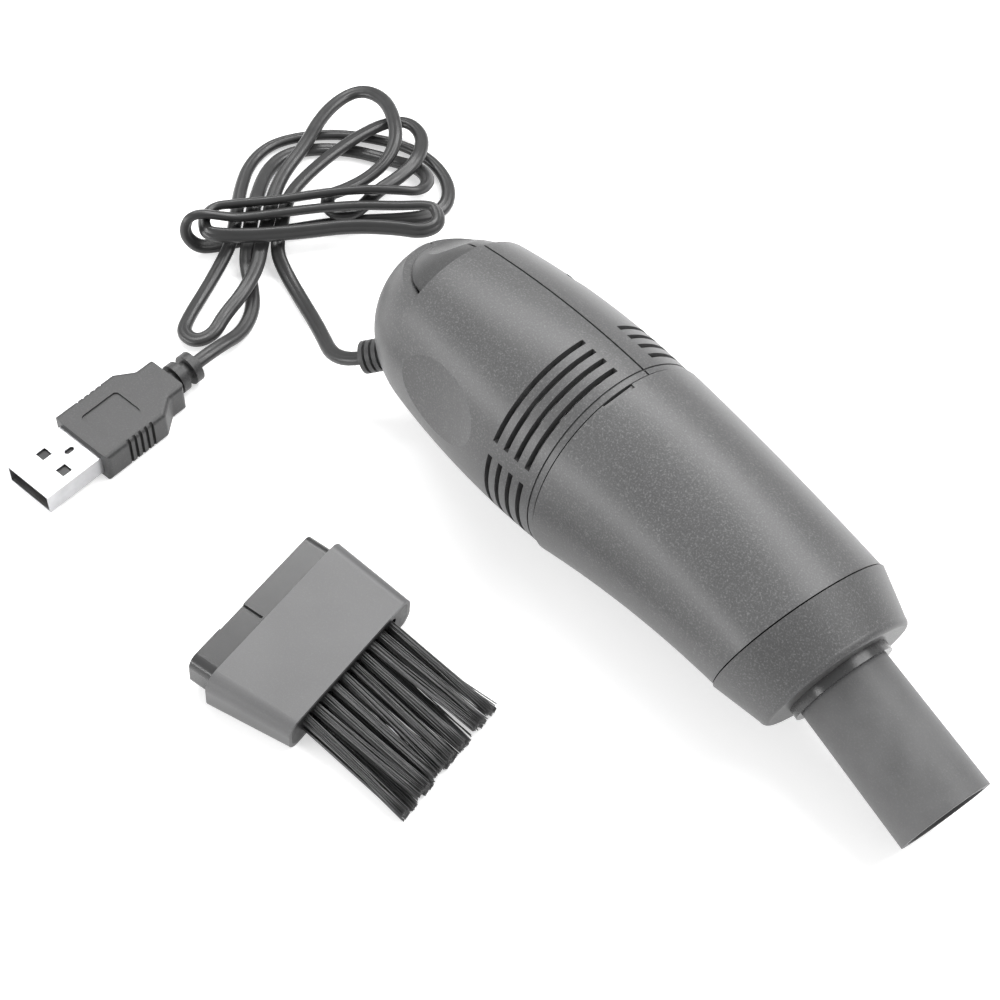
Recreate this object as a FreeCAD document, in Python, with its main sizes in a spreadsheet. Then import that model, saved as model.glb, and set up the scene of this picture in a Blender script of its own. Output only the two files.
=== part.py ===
import FreeCAD, Part

import math
import os
import sys
from types import SimpleNamespace

from FreeCAD import Placement, Rotation, Vector

# Desktop mini vacuum cleaner with a plug-in lead and a separate brush head.
# The vacuum is drawn about its own axis: X forward, Z to the ridge seam, origin at the ring seam.
# It lies on the desk leaning to its left, as LAY places it. Lengths are millimetres, angles degrees.

SIZES = dict(
    # where things lie on the desk
    seam_place_x=-15.38,
    seam_place_y=31.58,
    lean_angle=16.0,
    # rear housing
    ring_radius=21.4,
    ring_lip=1.4,
    lip_groove_width=0.35,
    lip_groove_depth=0.35,
    belly_bulge=0.2,
    belly_back=20.0,
    shoulder_fall=2.0,
    shoulder_back=43.0,
    rump_fall=6.7,
    rump_behind=11.0,
    wall=1.8,
    bury_share=0.6,
    half_share=0.5,
    edge_share=0.8,
    drive_share=0.75,
    neck_step=2.1,
    neck_length=5.0,
    neck_wall=2.0,
    neck_root=1.5,
    part_groove_width=0.44,
    part_groove_depth=0.45,
    vent_width=1.15,
    vent_pitch=2.86,
    vent_count=4,
    vent_first_back=2.75,
    vent_start_angle=12.0,
    vent_long_angle=69.0,
    vent_gap_angle=8.5,
    vent_short_angle=44.0,
    dimple_back=28.3,
    dimple_height=2.2,
    dimple_depth=1.2,
    dimple_reach=10.0,
    dimple_half_length=25.0,
    dimple_half_height=80.0,
    dimple_tilt=4.5,
    rib_thickness=1.6,
    front_rib_back=20.5,
    rear_rib_back=39.5,
    # rocker button
    rocker_cut_behind=1.4,
    rocker_cut_fall=8.8,
    rocker_edge_gap=0.25,
    rocker_rest_gap=0.1,
    rocker_sink=1.1,
    rocker_plan_ahead=1.2,
    rocker_plan_radius=13.4,
    rocker_pivot_behind=5.6,
    rocker_pivot_drop=1.6,
    rocker_travel=5.0,
    rocker_pin_radius=0.8,
    rocker_pin_hold=0.8,
    rocker_lug_thickness=2.0,
    rocker_lug_spread=17.0,
    rocker_lug_radius=1.9,
    pin_running_gap=0.05,
    scoop_radius=11.0,
    scoop_behind=13.1,
    scoop_floor=0.9,
    mark_length=2.6,
    mark_width=0.6,
    mark_depth=0.35,
    mark_behind=4.4,
    # switch under the rocker
    switch_length=8.4,
    switch_width=11.0,
    switch_drop=7.4,
    switch_under=3.0,
    switch_gap=0.4,
    shelf_length=8.8,
    shelf_inner=4.3,
    plunger_radius=1.3,
    plunger_gap=0.07,
    plunger_inset=1.8,
    terminal_width=2.0,
    terminal_thickness=0.5,
    terminal_length=3.2,
    terminal_spread=6.0,
    # motor and fan
    motor_radius=11.9,
    motor_length=25.0,
    motor_front_back=16.2,
    motor_cap_radius=11.3,
    motor_cap_length=2.6,
    motor_seat_gap=0.15,
    bearing_radius=3.0,
    bearing_length=1.3,
    shaft_radius=1.0,
    shaft_tail=0.5,
    mount_plate_thickness=1.4,
    mount_hole_count=6,
    mount_hole_radius=1.9,
    disc_gap=0.15,
    fan_gap=2.3,
    impeller_disc=1.2,
    impeller_back=13.4,
    impeller_hub_radius=3.6,
    blade_height=6.8,
    blade_thickness=1.0,
    blade_inner_radius=6.4,
    blade_curve_radius=13.0,
    blade_sweep=48.0,
    blade_count=8,
    hub_step=0.6,
    inlet_plate_thickness=1.4,
    inlet_hole_radius=7.5,
    # filter and seal
    filter_ring_length=3.2,
    filter_ring_wall=1.7,
    filter_lip_inset=1.5,
    filter_lip_length=1.2,
    filter_cloth_depth=11.5,
    filter_cloth_front_radius=9.0,
    filter_cloth_thickness=0.7,
    seal_width=1.4,
    seal_depth=0.7,
    seal_proud=0.4,
    seal_ahead=2.6,
    # dust cup
    cup_gap=0.4,
    cup_proud=0.25,
    cup_wall=1.3,
    cup_front_reach=49.2,
    cup_front_drop=0.6,
    cup_front_tilt=15.0,
    cup_front_narrow=1.65,
    cup_front_flat=4.95,
    cup_middle_narrow=1.3,
    cup_middle_flat=2.3,
    cup_middle_rise=0.6,
    cup_plate=3.0,
    notch_width=7.0,
    notch_length=0.9,
    notch_depth=0.8,
    notch_angle=22.0,
    # oval plug-in joint shared by the nozzle and the brush
    spigot_width=36.0,
    spigot_height=8.2,
    spigot_corner=2.2,
    spigot_wall=1.2,
    spigot_length=5.5,
    socket_clearance=0.3,
    # nose and nozzle
    nose_gap=0.3,
    nose_step=0.25,
    nose_length=11.4,
    nose_front_narrow=2.75,
    nose_front_flat=2.05,
    nose_front_rise=0.1,
    nose_way_half_width=10.5,
    nose_way_half_height=8.0,
    nose_way_corner=5.0,
    nose_face=2.0,
    nose_edge=1.4,
    collar_radius=10.5,
    collar_length=1.9,
    tube_root_radius=9.2,
    tube_mouth_radius=9.5,
    tube_length=30.4,
    tube_bore_radius=8.1,
    tube_neck_radius=7.3,
    tube_neck_bore=5.6,
    tube_barb_radius=8.0,
    tube_barb_length=1.6,
    # lead
    cord_diameter=2.6,
    cord_straight=6.0,
    arc_share=0.45,
    hank_start_run=3,
    gap_step=0.8,
    gap_reach=8.0,
    gland_angle=138.0,
    gland_back=53.6,
    gland_lean=43.0,
    gland_length=5.0,
    gland_tail=3.2,
    gland_first_rib=0.6,
    gland_radius=3.1,
    gland_tip_radius=2.3,
    gland_rib_radius=3.4,
    gland_rib_length=0.9,
    gland_ribs=3,
    gland_flange_radius=4.0,
    gland_flange_length=1.2,
    # screws
    screw_radius=1.0,
    screw_head_radius=2.1,
    screw_head_length=1.3,
    screw_length=12.0,
    screw_seat=5.6,
    boss_radius=2.4,
    screw_slot_width=0.5,
    screw_slot_depth=0.6,
    head_clearance=0.2,
    middle_screw_back=30.0,
    middle_screw_inset=5.6,
    rear_screw_inset=4.2,
    rear_screw_drop=1.0,
    # plug
    plug_place_x=-94.93,
    plug_place_y=-37.71,
    plug_turn=-82.3,
    shell_width=12.0,
    shell_height=4.5,
    shell_length=13.8,
    shell_tail=2.5,
    shell_wall=0.35,
    shell_hole=2.3,
    shell_hole_ahead=7.0,
    shell_hole_spread=6.0,
    shell_slot_length=2.2,
    shell_slot_width=1.2,
    shell_slot_ahead=3.0,
    tongue_width=11.0,
    tongue_height=1.9,
    tongue_length=12.6,
    contact_width=1.0,
    contact_thickness=0.3,
    contact_length=8.6,
    contact_outer_spread=7.0,
    contact_inner_spread=2.0,
    mould_width=15.9,
    mould_height=7.1,
    mould_length=15.5,
    mould_taper=3.8,
    mould_edge=1.0,
    mould_groove_count=5,
    mould_groove_width=0.7,
    mould_groove_pitch=1.5,
    mould_groove_depth=0.7,
    mould_groove_ahead=5.6,
    mould_step_width=10.3,
    mould_step_length=4.0,
    panel_width=7.8,
    panel_length=9.55,
    panel_corner=1.0,
    panel_depth=0.35,
    panel_ahead=3.4,
    relief_length=7.5,
    relief_radius=2.5,
    relief_tip_radius=2.0,
    relief_grip=6.0,
    relief_first_ring=1.3,
    relief_ring_radius=3.4,
    relief_ring_length=1.8,
    relief_ring_pitch=3.6,
    relief_rings=2,
    # brush head
    brush_place_x=-35.9,
    brush_place_y=-33.9,
    brush_turn=14.5,
    shoulder_rear_width=40.0,
    shoulder_rear_height=10.0,
    shoulder_rear_corner=3.2,
    shoulder_front_width=36.4,
    shoulder_front_height=7.6,
    shoulder_front_corner=2.6,
    shoulder_length=17.9,
    spigot_recess_width=6.9,
    spigot_recess_depth=0.5,
    spigot_recess_offset=5.75,
    spigot_recess_rim=0.8,
    brush_way_depth=11.0,
    block_length=5.0,
    block_inset=0.8,
    tuft_count=10,
    tuft_rows=2,
    tuft_radius=1.1,
    tuft_tip_radius=0.9,
    tuft_length=25.5,
    tuft_sunk=4.0,
    tuft_row_spacing=2.3,
    tuft_end_margin=4.8,
    # one value for cuts that run past a face
    overrun=1.0,
)

doc = FreeCAD.newDocument("mini_vacuum")
sheet = doc.addObject("Spreadsheet::Sheet", "Sizes")
for row, (alias, value) in enumerate(SIZES.items(), start=1):
    sheet.set("A%d" % row, alias)
    sheet.set("B%d" % row, str(value))
    sheet.setAlias("B%d" % row, alias)
doc.recompute()
v = SimpleNamespace(**{alias: float(sheet.get(alias)) for alias in SIZES})

# sizes that follow from others
BELLY_RADIUS = v.ring_radius + v.belly_bulge
SHOULDER_RADIUS = v.ring_radius - v.shoulder_fall
NECK_RADIUS = v.ring_radius - v.neck_step
CUP_REAR = v.ring_lip + v.cup_gap
CUP_HALF_WIDTH = v.ring_radius - v.cup_front_narrow
CUP_HALF_HEIGHT = v.ring_radius - v.cup_front_flat
PIVOT_BACK = v.shoulder_back + v.rocker_cut_behind + v.rocker_pivot_behind
ROCKER_CUT_BACK = v.shoulder_back + v.rocker_cut_behind
ROCKER_CUT_HEIGHT = SHOULDER_RADIUS - v.rocker_cut_fall
ROCKER_UNDER = (ROCKER_CUT_HEIGHT + v.rocker_rest_gap
                + v.rocker_pivot_behind * math.tan(math.radians(v.rocker_travel)))
PIVOT_HEIGHT = ROCKER_CUT_HEIGHT - v.rocker_pivot_drop
SWITCH_TOP = ROCKER_CUT_HEIGHT - v.switch_under
SHAFT_BACK = (v.motor_front_back + v.motor_length + v.motor_cap_length + v.bearing_length
              + v.shaft_tail)
SWITCH_BACK = SHAFT_BACK + v.switch_gap

X_AXIS = Vector(1, 0, 0)
Y_AXIS = Vector(0, 1, 0)
Z_AXIS = Vector(0, 0, 1)
HALF_TURN = 180.0
FULL_TURN = 360.0
QUARTER_TURN = 90.0

SUBPARTS = {}


def keep(name, obj, place=None):
    """Registers obj as a sub-part under name and puts it in its place."""
    obj.Label = name
    if place is not None:
        obj.Placement = place
    SUBPARTS[name] = obj
    return obj


def bind(obj, **names):
    """Ties properties of obj to cells of the sheet, or to sums of them."""
    for prop, text in names.items():
        for alias in sorted(SIZES, key=len, reverse=True):
            text = text.replace("$" + alias, "Sizes." + alias)
        obj.setExpression(prop, text)
    return obj


# Outline of the rear housing: radius as a chain of arcs, from the ring seam back to the tip

def three_point_circle(a, b, c):
    """Centre and radius of the circle through three points of a plane."""
    d = 2 * (a[0] * (b[1] - c[1]) + b[0] * (c[1] - a[1]) + c[0] * (a[1] - b[1]))
    sa, sb, sc = (p[0] ** 2 + p[1] ** 2 for p in (a, b, c))
    x = (sa * (b[1] - c[1]) + sb * (c[1] - a[1]) + sc * (a[1] - b[1])) / d
    y = (sa * (c[0] - b[0]) + sb * (a[0] - c[0]) + sc * (b[0] - a[0])) / d
    return (x, y), math.hypot(a[0] - x, a[1] - y)


def tangent_circle(previous_centre, joint, end):
    """Centre and radius of the circle that leaves joint tangent to the last one and passes end."""
    n = ((previous_centre[0] - joint[0]), (previous_centre[1] - joint[1]))
    size = math.hypot(*n)
    n = (n[0] / size, n[1] / size)
    chord = (end[0] - joint[0], end[1] - joint[1])
    radius = (chord[0] ** 2 + chord[1] ** 2) / (2 * (chord[0] * n[0] + chord[1] * n[1]))
    return (joint[0] + n[0] * radius, joint[1] + n[1] * radius), radius


def housing_arcs():
    """The arcs of the outer outline as (centre, radius, x of front end, x of rear end)."""
    front = (0.0, v.ring_radius)
    belly = (-v.belly_back, BELLY_RADIUS)
    shoulder = (-v.shoulder_back, SHOULDER_RADIUS)
    rump = (-v.shoulder_back - v.rump_behind, v.ring_radius - v.rump_fall)
    first = three_point_circle(front, belly, shoulder)
    second = tangent_circle(first[0], shoulder, rump)
    # the last arc is a cap with its centre on the axis, so the tip is round
    toward = (second[0][0] - rump[0], second[0][1] - rump[1])
    share = -rump[1] / toward[1]
    cap_centre = (rump[0] + toward[0] * share, 0.0)
    cap_radius = math.hypot(rump[0] - cap_centre[0], rump[1])
    return [
        (first[0], first[1], front[0], shoulder[0]),
        (second[0], second[1], shoulder[0], rump[0]),
        (cap_centre, cap_radius, rump[0], cap_centre[0] - cap_radius),
    ]


ARCS = housing_arcs()
TIP_BACK = -ARCS[-1][3]
AXIS_HEIGHT = max(radius + centre[1] for centre, radius, front, rear in ARCS[:1])
LAY = Placement(Vector(v.seam_place_x, v.seam_place_y, AXIS_HEIGHT), Rotation(X_AXIS, -v.lean_angle))


def arc_point(arc, x, inset):
    """Point of an arc, moved inward by inset along the arc's normal at outline place x."""
    (cx, cy), radius = arc[0], arc[1]
    angle = math.atan2(math.sqrt(max(radius ** 2 - (x - cx) ** 2, 0.0)), x - cx)
    reach = radius - inset
    return (cx + reach * math.cos(angle), cy + reach * math.sin(angle))


def outline_radius(x, inset=0.0):
    """Radius of the outline at x after moving it inward by inset."""
    for centre, radius, front, rear in ARCS:
        reach = radius - inset
        limit = centre[0] + (rear - centre[0]) * reach / radius
        if x >= limit - 1e-9:
            return centre[1] + math.sqrt(max(reach ** 2 - (x - centre[0]) ** 2, 0.0))
    return 0.0


def outline_edges(inset, front_x):
    """Arcs of the outline moved inward, from front_x back to the axis, as Part arcs in X and Y."""
    edges = []
    start = (front_x, outline_radius(front_x, inset))
    for arc in [arc for arc in ARCS if arc[3] < front_x]:
        end = arc_point(arc, arc[3], inset)
        if arc is ARCS[-1]:
            end = (arc[0][0] - arc[1] + inset, 0.0)
        first = math.atan2(start[1] - arc[0][1], start[0] - arc[0][0])
        last = math.atan2(end[1] - arc[0][1], end[0] - arc[0][0])
        middle = (first + last) / 2
        reach = arc[1] - inset
        mid = (arc[0][0] + reach * math.cos(middle), arc[0][1] + reach * math.sin(middle))
        edges.append(Part.Arc(Vector(*start), Vector(*mid), Vector(*end)))
        start = end
    return edges


def lines_through(points):
    """Part lines along a list of (x, y) points."""
    return [Part.LineSegment(Vector(*a), Vector(*b)) for a, b in zip(points, points[1:])]


# PartDesign helpers

def new_body(name):
    return doc.addObject("PartDesign::Body", name + "_body")


def plane_of(body, role):
    return next(f for f in body.Origin.OriginFeatures if f.Role == role)


def new_sketch(body, role, name, geometry, offset=None):
    """A sketch on one of the body's origin planes, holding the given Part geometry."""
    sketch = body.newObject("Sketcher::SketchObject", name)
    sketch.AttachmentSupport = (plane_of(body, role), [""])
    sketch.MapMode = "FlatFace"
    if offset is not None:
        sketch.AttachmentOffset = offset
    sketch.addGeometry(geometry, False)
    return sketch


def feature(body, kind, name, sketch, **props):
    made = body.newObject("PartDesign::" + kind, name)
    made.Profile = sketch
    for prop, value in props.items():
        setattr(made, prop, value)
    return made


def rectangle(x0, y0, x1, y1):
    return lines_through([(x0, y0), (x1, y0), (x1, y1), (x0, y1), (x0, y0)])


def circle(x, y, radius):
    return [Part.Circle(Vector(x, y, 0), Z_AXIS, radius)]


def rounded_rectangle(width, height, corner, x=0.0, y=0.0):
    """Lines and quarter arcs round a middle at x and y."""
    edges = []
    share = math.sqrt(v.half_share)
    inner_width = width / 2 - corner
    inner_height = height / 2 - corner
    previous = None
    for across_sign, up_sign, first in ((1, 1, "up"), (-1, 1, "side"), (-1, -1, "up"), (1, -1, "side")):
        cx, cy = x + across_sign * inner_width, y + up_sign * inner_height
        side = Vector(cx + across_sign * corner, cy, 0)
        top = Vector(cx, cy + up_sign * corner, 0)
        middle = Vector(cx + across_sign * corner * share, cy + up_sign * corner * share, 0)
        start, end = (side, top) if first == "up" else (top, side)
        if previous is not None:
            edges.append(Part.LineSegment(previous, start))
        edges.append(Part.Arc(start, middle, end))
        previous = end
    edges.append(Part.LineSegment(previous, Vector(x + width / 2, y + inner_height, 0)))
    return edges


def spigot_outline(inset=0.0):
    """Outline of the plug-in joint, or of its way inside."""
    return rounded_rectangle(v.spigot_width - 2 * inset, v.spigot_height - 2 * inset,
                             v.spigot_corner - inset * v.half_share)


def stadium(width, height, x=0.0, y=0.0):
    """A slot shape: two lines and two half circles, width along the sketch's X."""
    r = height / 2
    c = width / 2 - r
    return [
        Part.LineSegment(Vector(x - c, y + r, 0), Vector(x + c, y + r, 0)),
        Part.Arc(Vector(x + c, y + r, 0), Vector(x + c + r, y, 0), Vector(x + c, y - r, 0)),
        Part.LineSegment(Vector(x + c, y - r, 0), Vector(x - c, y - r, 0)),
        Part.Arc(Vector(x - c, y - r, 0), Vector(x - c - r, y, 0), Vector(x - c, y + r, 0)),
    ]


# Part helpers: solids along X made from named sizes

def along_x(x=0.0, y=0.0, z=0.0):
    """Placement that turns a cylinder or cone from Z to lie along +X, starting at a point."""
    return Placement(Vector(x, y, z), Rotation(Y_AXIS, QUARTER_TURN))


def cylinder(name, radius, height, place, **ties):
    made = doc.addObject("Part::Cylinder", name)
    made.Radius = radius
    made.Height = height
    bind(made, **ties)
    made.Placement = place
    return made


def cone(name, start_radius, end_radius, height, place, **ties):
    made = doc.addObject("Part::Cone", name)
    made.Radius1 = start_radius
    made.Radius2 = end_radius
    made.Height = height
    bind(made, **ties)
    made.Placement = place
    return made


def box(name, length, width, height, place, **ties):
    made = doc.addObject("Part::Box", name)
    made.Length = length
    made.Width = width
    made.Height = height
    bind(made, **ties)
    made.Placement = place
    return made


def at(x=0.0, y=0.0, z=0.0):
    return Placement(Vector(x, y, z), Rotation())


def cut(name, base, tool):
    made = doc.addObject("Part::Cut", name)
    made.Base = base
    made.Tool = tool
    return made


def fuse(name, *shapes):
    made = doc.addObject("Part::MultiFuse", name)
    made.Shapes = list(shapes)
    return made


def turned(name, points):
    """A solid turned about X from closed (x, radius) points, as a sketch and a revolution."""
    profile = doc.addObject("Sketcher::SketchObject", name + "_profile")
    profile.Placement = Placement(Vector(), Rotation(X_AXIS, QUARTER_TURN))
    profile.addGeometry(lines_through(points + points[:1]), False)
    made = doc.addObject("Part::Revolution", name)
    made.Source = profile
    made.Axis = X_AXIS
    made.Base = Vector()
    made.Angle = FULL_TURN
    made.Solid = True
    return made


# Rear housing: two shells that meet on the ridge seam

def screw_places():
    """X and Z of the three screws of the housing."""
    return [
        (-v.middle_screw_back, v.middle_screw_inset - BELLY_RADIUS),
        (-v.middle_screw_back, BELLY_RADIUS - v.middle_screw_inset),
        (v.rear_screw_inset - TIP_BACK, -v.rear_screw_drop),
    ]


def gland_seat():
    """Point of the outer face where the lead's gland leaves the shell, and its direction."""
    angle = math.radians(v.gland_angle)
    lean = math.radians(v.gland_lean)
    out = Vector(0, -math.sin(angle), math.cos(angle))
    seat = out * outline_radius(-v.gland_back) - X_AXIS * v.gland_back
    return seat, out * math.cos(lean) - X_AXIS * math.sin(lean)


def housing(side):
    """One half shell. side is 1 for the left half, on +Y, and -1 for the right half."""
    name = "housing_left" if side > 0 else "housing_right"
    body = new_body(name)
    inner_front = -v.neck_root
    profile = outline_edges(0.0, v.ring_lip)
    inner = outline_edges(v.wall, inner_front)
    tip = profile[-1].EndPoint
    inner_tip = inner[-1].EndPoint
    neck_inner = NECK_RADIUS - v.neck_wall
    groove_floor = NECK_RADIUS - v.seal_depth
    rim = lines_through([
        (inner_front, outline_radius(inner_front, v.wall)),
        (inner_front, neck_inner),
        (v.neck_length, neck_inner),
        (v.neck_length, NECK_RADIUS),
        (v.seal_ahead + v.seal_width, NECK_RADIUS),
        (v.seal_ahead + v.seal_width, groove_floor),
        (v.seal_ahead, groove_floor),
        (v.seal_ahead, NECK_RADIUS),
        (v.ring_lip, NECK_RADIUS),
        (v.ring_lip, outline_radius(v.ring_lip)),
    ])
    closing = Part.LineSegment(tip, inner_tip)
    shell_sketch = new_sketch(body, "XZ_Plane", name + "_outline", profile + inner + rim + [closing])
    feature(body, "Revolution", name + "_shell", shell_sketch, Angle=HALF_TURN,
            ReferenceAxis=(shell_sketch, ["H_Axis"]), Reversed=side > 0)
    # fine groove that sets the lip off
    lip_sketch = new_sketch(body, "XZ_Plane", name + "_lip_outline",
                            rectangle(-v.lip_groove_width / 2, v.ring_radius - v.lip_groove_depth,
                                      v.lip_groove_width / 2, v.ring_radius + v.overrun))
    feature(body, "Groove", name + "_lip_groove", lip_sketch, Angle=HALF_TURN,
            ReferenceAxis=(lip_sketch, ["H_Axis"]), Reversed=side > 0)
    # ribs that cradle the motor
    for rib_name, back in (("front_rib", v.front_rib_back), ("rear_rib", v.rear_rib_back)):
        seat = v.motor_radius + v.motor_seat_gap
        top = outline_radius(-back - v.rib_thickness, v.wall) + v.wall * v.bury_share
        rib_sketch = new_sketch(body, "XZ_Plane", name + "_" + rib_name,
                                rectangle(-back - v.rib_thickness, seat, -back, top))
        feature(body, "Revolution", name + "_" + rib_name + "_turn", rib_sketch, Angle=HALF_TURN,
                ReferenceAxis=(rib_sketch, ["H_Axis"]), Reversed=side > 0)
    # shelf under the switch
    shelf_reach = outline_radius(-SWITCH_BACK - v.shelf_length, v.wall) + v.wall * v.bury_share
    shelf_top = SWITCH_TOP - v.switch_drop
    shelf_sketch = new_sketch(
        body, "XZ_Plane", name + "_shelf",
        rectangle(-SWITCH_BACK - v.shelf_length, shelf_top - v.rib_thickness,
                  -SWITCH_BACK, shelf_top),
        Placement(Vector(0, 0, -side * v.shelf_inner), Rotation()))
    feature(body, "Pad", name + "_shelf_pad", shelf_sketch, Length=shelf_reach - v.shelf_inner,
            Reversed=side > 0)
    # screw bosses
    for number, (x, z) in enumerate(screw_places(), start=1):
        wall_inset = v.wall * (1 - v.bury_share)
        depth = math.sqrt(outline_radius(x - v.boss_radius, wall_inset) ** 2
                          - (abs(z) + v.boss_radius) ** 2)
        boss_sketch = new_sketch(body, "XZ_Plane", name + "_boss%d" % number,
                                 circle(x, z, v.boss_radius))
        feature(body, "Pad", name + "_boss_pad%d" % number, boss_sketch, Length=depth,
                Reversed=side > 0)
        hole_radius = v.screw_radius + v.pin_running_gap if side > 0 else v.screw_radius
        hole_depth = v.screw_seat if side > 0 else v.screw_length - v.screw_seat
        hole_sketch = new_sketch(body, "XZ_Plane", name + "_hole%d" % number,
                                 circle(x, z, hole_radius))
        feature(body, "Pocket", name + "_hole_cut%d" % number, hole_sketch,
                Length=hole_depth + v.overrun, Reversed=side < 0)
        if side > 0:
            well_sketch = new_sketch(body, "XZ_Plane", name + "_well%d" % number,
                                     circle(x, z, v.screw_head_radius + v.head_clearance),
                                     Placement(Vector(0, 0, -v.screw_seat), Rotation()))
            feature(body, "Pocket", name + "_well_cut%d" % number, well_sketch,
                    Length=v.ring_radius)
    # groove along the parting line
    outer_band = outline_edges(-v.overrun, v.ring_lip)
    inner_band = outline_edges(v.part_groove_depth, v.ring_lip)
    ends = [
        Part.LineSegment(outer_band[0].StartPoint, inner_band[0].StartPoint),
        Part.LineSegment(outer_band[-1].EndPoint, inner_band[-1].EndPoint),
    ]
    for band_name, role_turn in (("top", 0.0), ("bottom", HALF_TURN)):
        band_sketch = new_sketch(body, "XZ_Plane", name + "_seam_" + band_name,
                                 outer_band + inner_band + ends,
                                 Placement(Vector(), Rotation(X_AXIS, role_turn)))
        feature(body, "Pocket", name + "_seam_cut_" + band_name, band_sketch,
                Length=v.part_groove_width, Midplane=True)
    # opening for the rocker
    rocker_sketch = new_sketch(body, "XZ_Plane", name + "_rocker_opening",
                               rectangle(-TIP_BACK - v.overrun, ROCKER_CUT_HEIGHT,
                                         -ROCKER_CUT_BACK, v.ring_radius + v.overrun))
    feature(body, "Pocket", name + "_rocker_cut", rocker_sketch, Length=2 * v.ring_radius,
            Midplane=True)
    # blind seats of the rocker pin
    pin_sketch = new_sketch(body, "XZ_Plane", name + "_pin_seat",
                            circle(-PIVOT_BACK, PIVOT_HEIGHT, v.rocker_pin_radius))
    feature(body, "Pocket", name + "_pin_cut", pin_sketch, Length=pin_length(), Midplane=True)
    # exhaust slots: a long row from the ridge down, then a short row below it
    short_start = v.vent_start_angle + v.vent_long_angle + v.vent_gap_angle
    rows = (
        ("long", v.vent_start_angle, v.vent_long_angle),
        ("short", short_start, v.vent_short_angle),
    )
    slots = []
    for number in range(int(v.vent_count)):
        x = -v.vent_first_back - number * v.vent_pitch
        slots += rectangle(x - v.vent_width / 2, v.motor_radius, x + v.vent_width / 2,
                           BELLY_RADIUS + v.overrun)
    for row_name, start, sweep in rows:
        vent_sketch = new_sketch(body, "XZ_Plane", name + "_vents_" + row_name, slots,
                                 Placement(Vector(), Rotation(X_AXIS, -side * start)))
        feature(body, "Groove", name + "_vent_cut_" + row_name, vent_sketch, Angle=sweep,
                ReferenceAxis=(vent_sketch, ["H_Axis"]), Reversed=side > 0)
    # thumb dimple
    dimple = body.newObject("PartDesign::SubtractiveEllipsoid", name + "_dimple")
    dimple.Radius1 = v.dimple_half_height
    dimple.Radius2 = v.dimple_half_length
    dimple.Radius3 = v.dimple_reach
    surface = math.sqrt(outline_radius(-v.dimple_back) ** 2 - v.dimple_height ** 2)
    tilt = math.radians(v.dimple_tilt)
    away = v.dimple_reach - v.dimple_depth
    dimple.Placement = Placement(Vector(-v.dimple_back - away * math.sin(tilt),
                                        side * (surface + away * math.cos(tilt)), v.dimple_height),
                                 Rotation(Z_AXIS, side * v.dimple_tilt))
    if side < 0:
        seat, direction = gland_seat()
        hole = body.newObject("PartDesign::SubtractiveCylinder", name + "_gland_hole")
        hole.Radius = v.gland_radius
        hole.Height = v.gland_tail + v.overrun
        hole.Placement = Placement(seat - direction * v.gland_tail, Rotation(Z_AXIS, direction))
    return keep(name, body, LAY)


def housing_screws():
    """Three screws that hold the two shells together, put in from the left."""
    screws = []
    for number, (x, z) in enumerate(screw_places(), start=1):
        name = "screw%d" % number
        inward = Rotation(X_AXIS, QUARTER_TURN)
        head = cylinder(name + "_head", v.screw_head_radius, v.screw_head_length,
                        Placement(Vector(x, v.screw_seat + v.screw_head_length, z), inward),
                        Radius="$screw_head_radius", Height="$screw_head_length")
        shank = cylinder(name + "_shank", v.screw_radius, v.screw_length,
                         Placement(Vector(x, v.screw_seat, z), inward),
                         Radius="$screw_radius", Height="$screw_length")
        slots = []
        for turn, tag in ((0.0, "a"), (QUARTER_TURN, "b")):
            corner = Vector(-v.screw_head_radius * v.drive_share, -v.screw_slot_depth,
                            -v.screw_slot_width / 2)
            top = Placement(Vector(x, v.screw_seat + v.screw_head_length, z), Rotation(Y_AXIS, turn))
            slots.append(box(name + "_slot_" + tag, 2 * v.screw_head_radius * v.drive_share,
                             v.screw_slot_depth + v.overrun, v.screw_slot_width,
                             top * at(*corner)))
        drive = fuse(name + "_drive", *slots)
        screws.append(cut(name, fuse(name + "_blank", head, shank), drive))
    made = doc.addObject("Part::Compound", "housing_screws")
    made.Links = screws
    return keep("housing_screws", made, LAY)


# Rocker and switch

def pin_length():
    """Length of the rocker's pin, from seat to seat in the walls of the two shells."""
    inner = math.sqrt(outline_radius(-PIVOT_BACK, v.wall) ** 2 - PIVOT_HEIGHT ** 2)
    return 2 * (inner + v.rocker_pin_hold)


def scoop_centre():
    """X and Z of the axis of the round scoop in the rocker's top."""
    return -ROCKER_CUT_BACK - v.scoop_behind, ROCKER_UNDER + v.scoop_floor + v.scoop_radius


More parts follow.
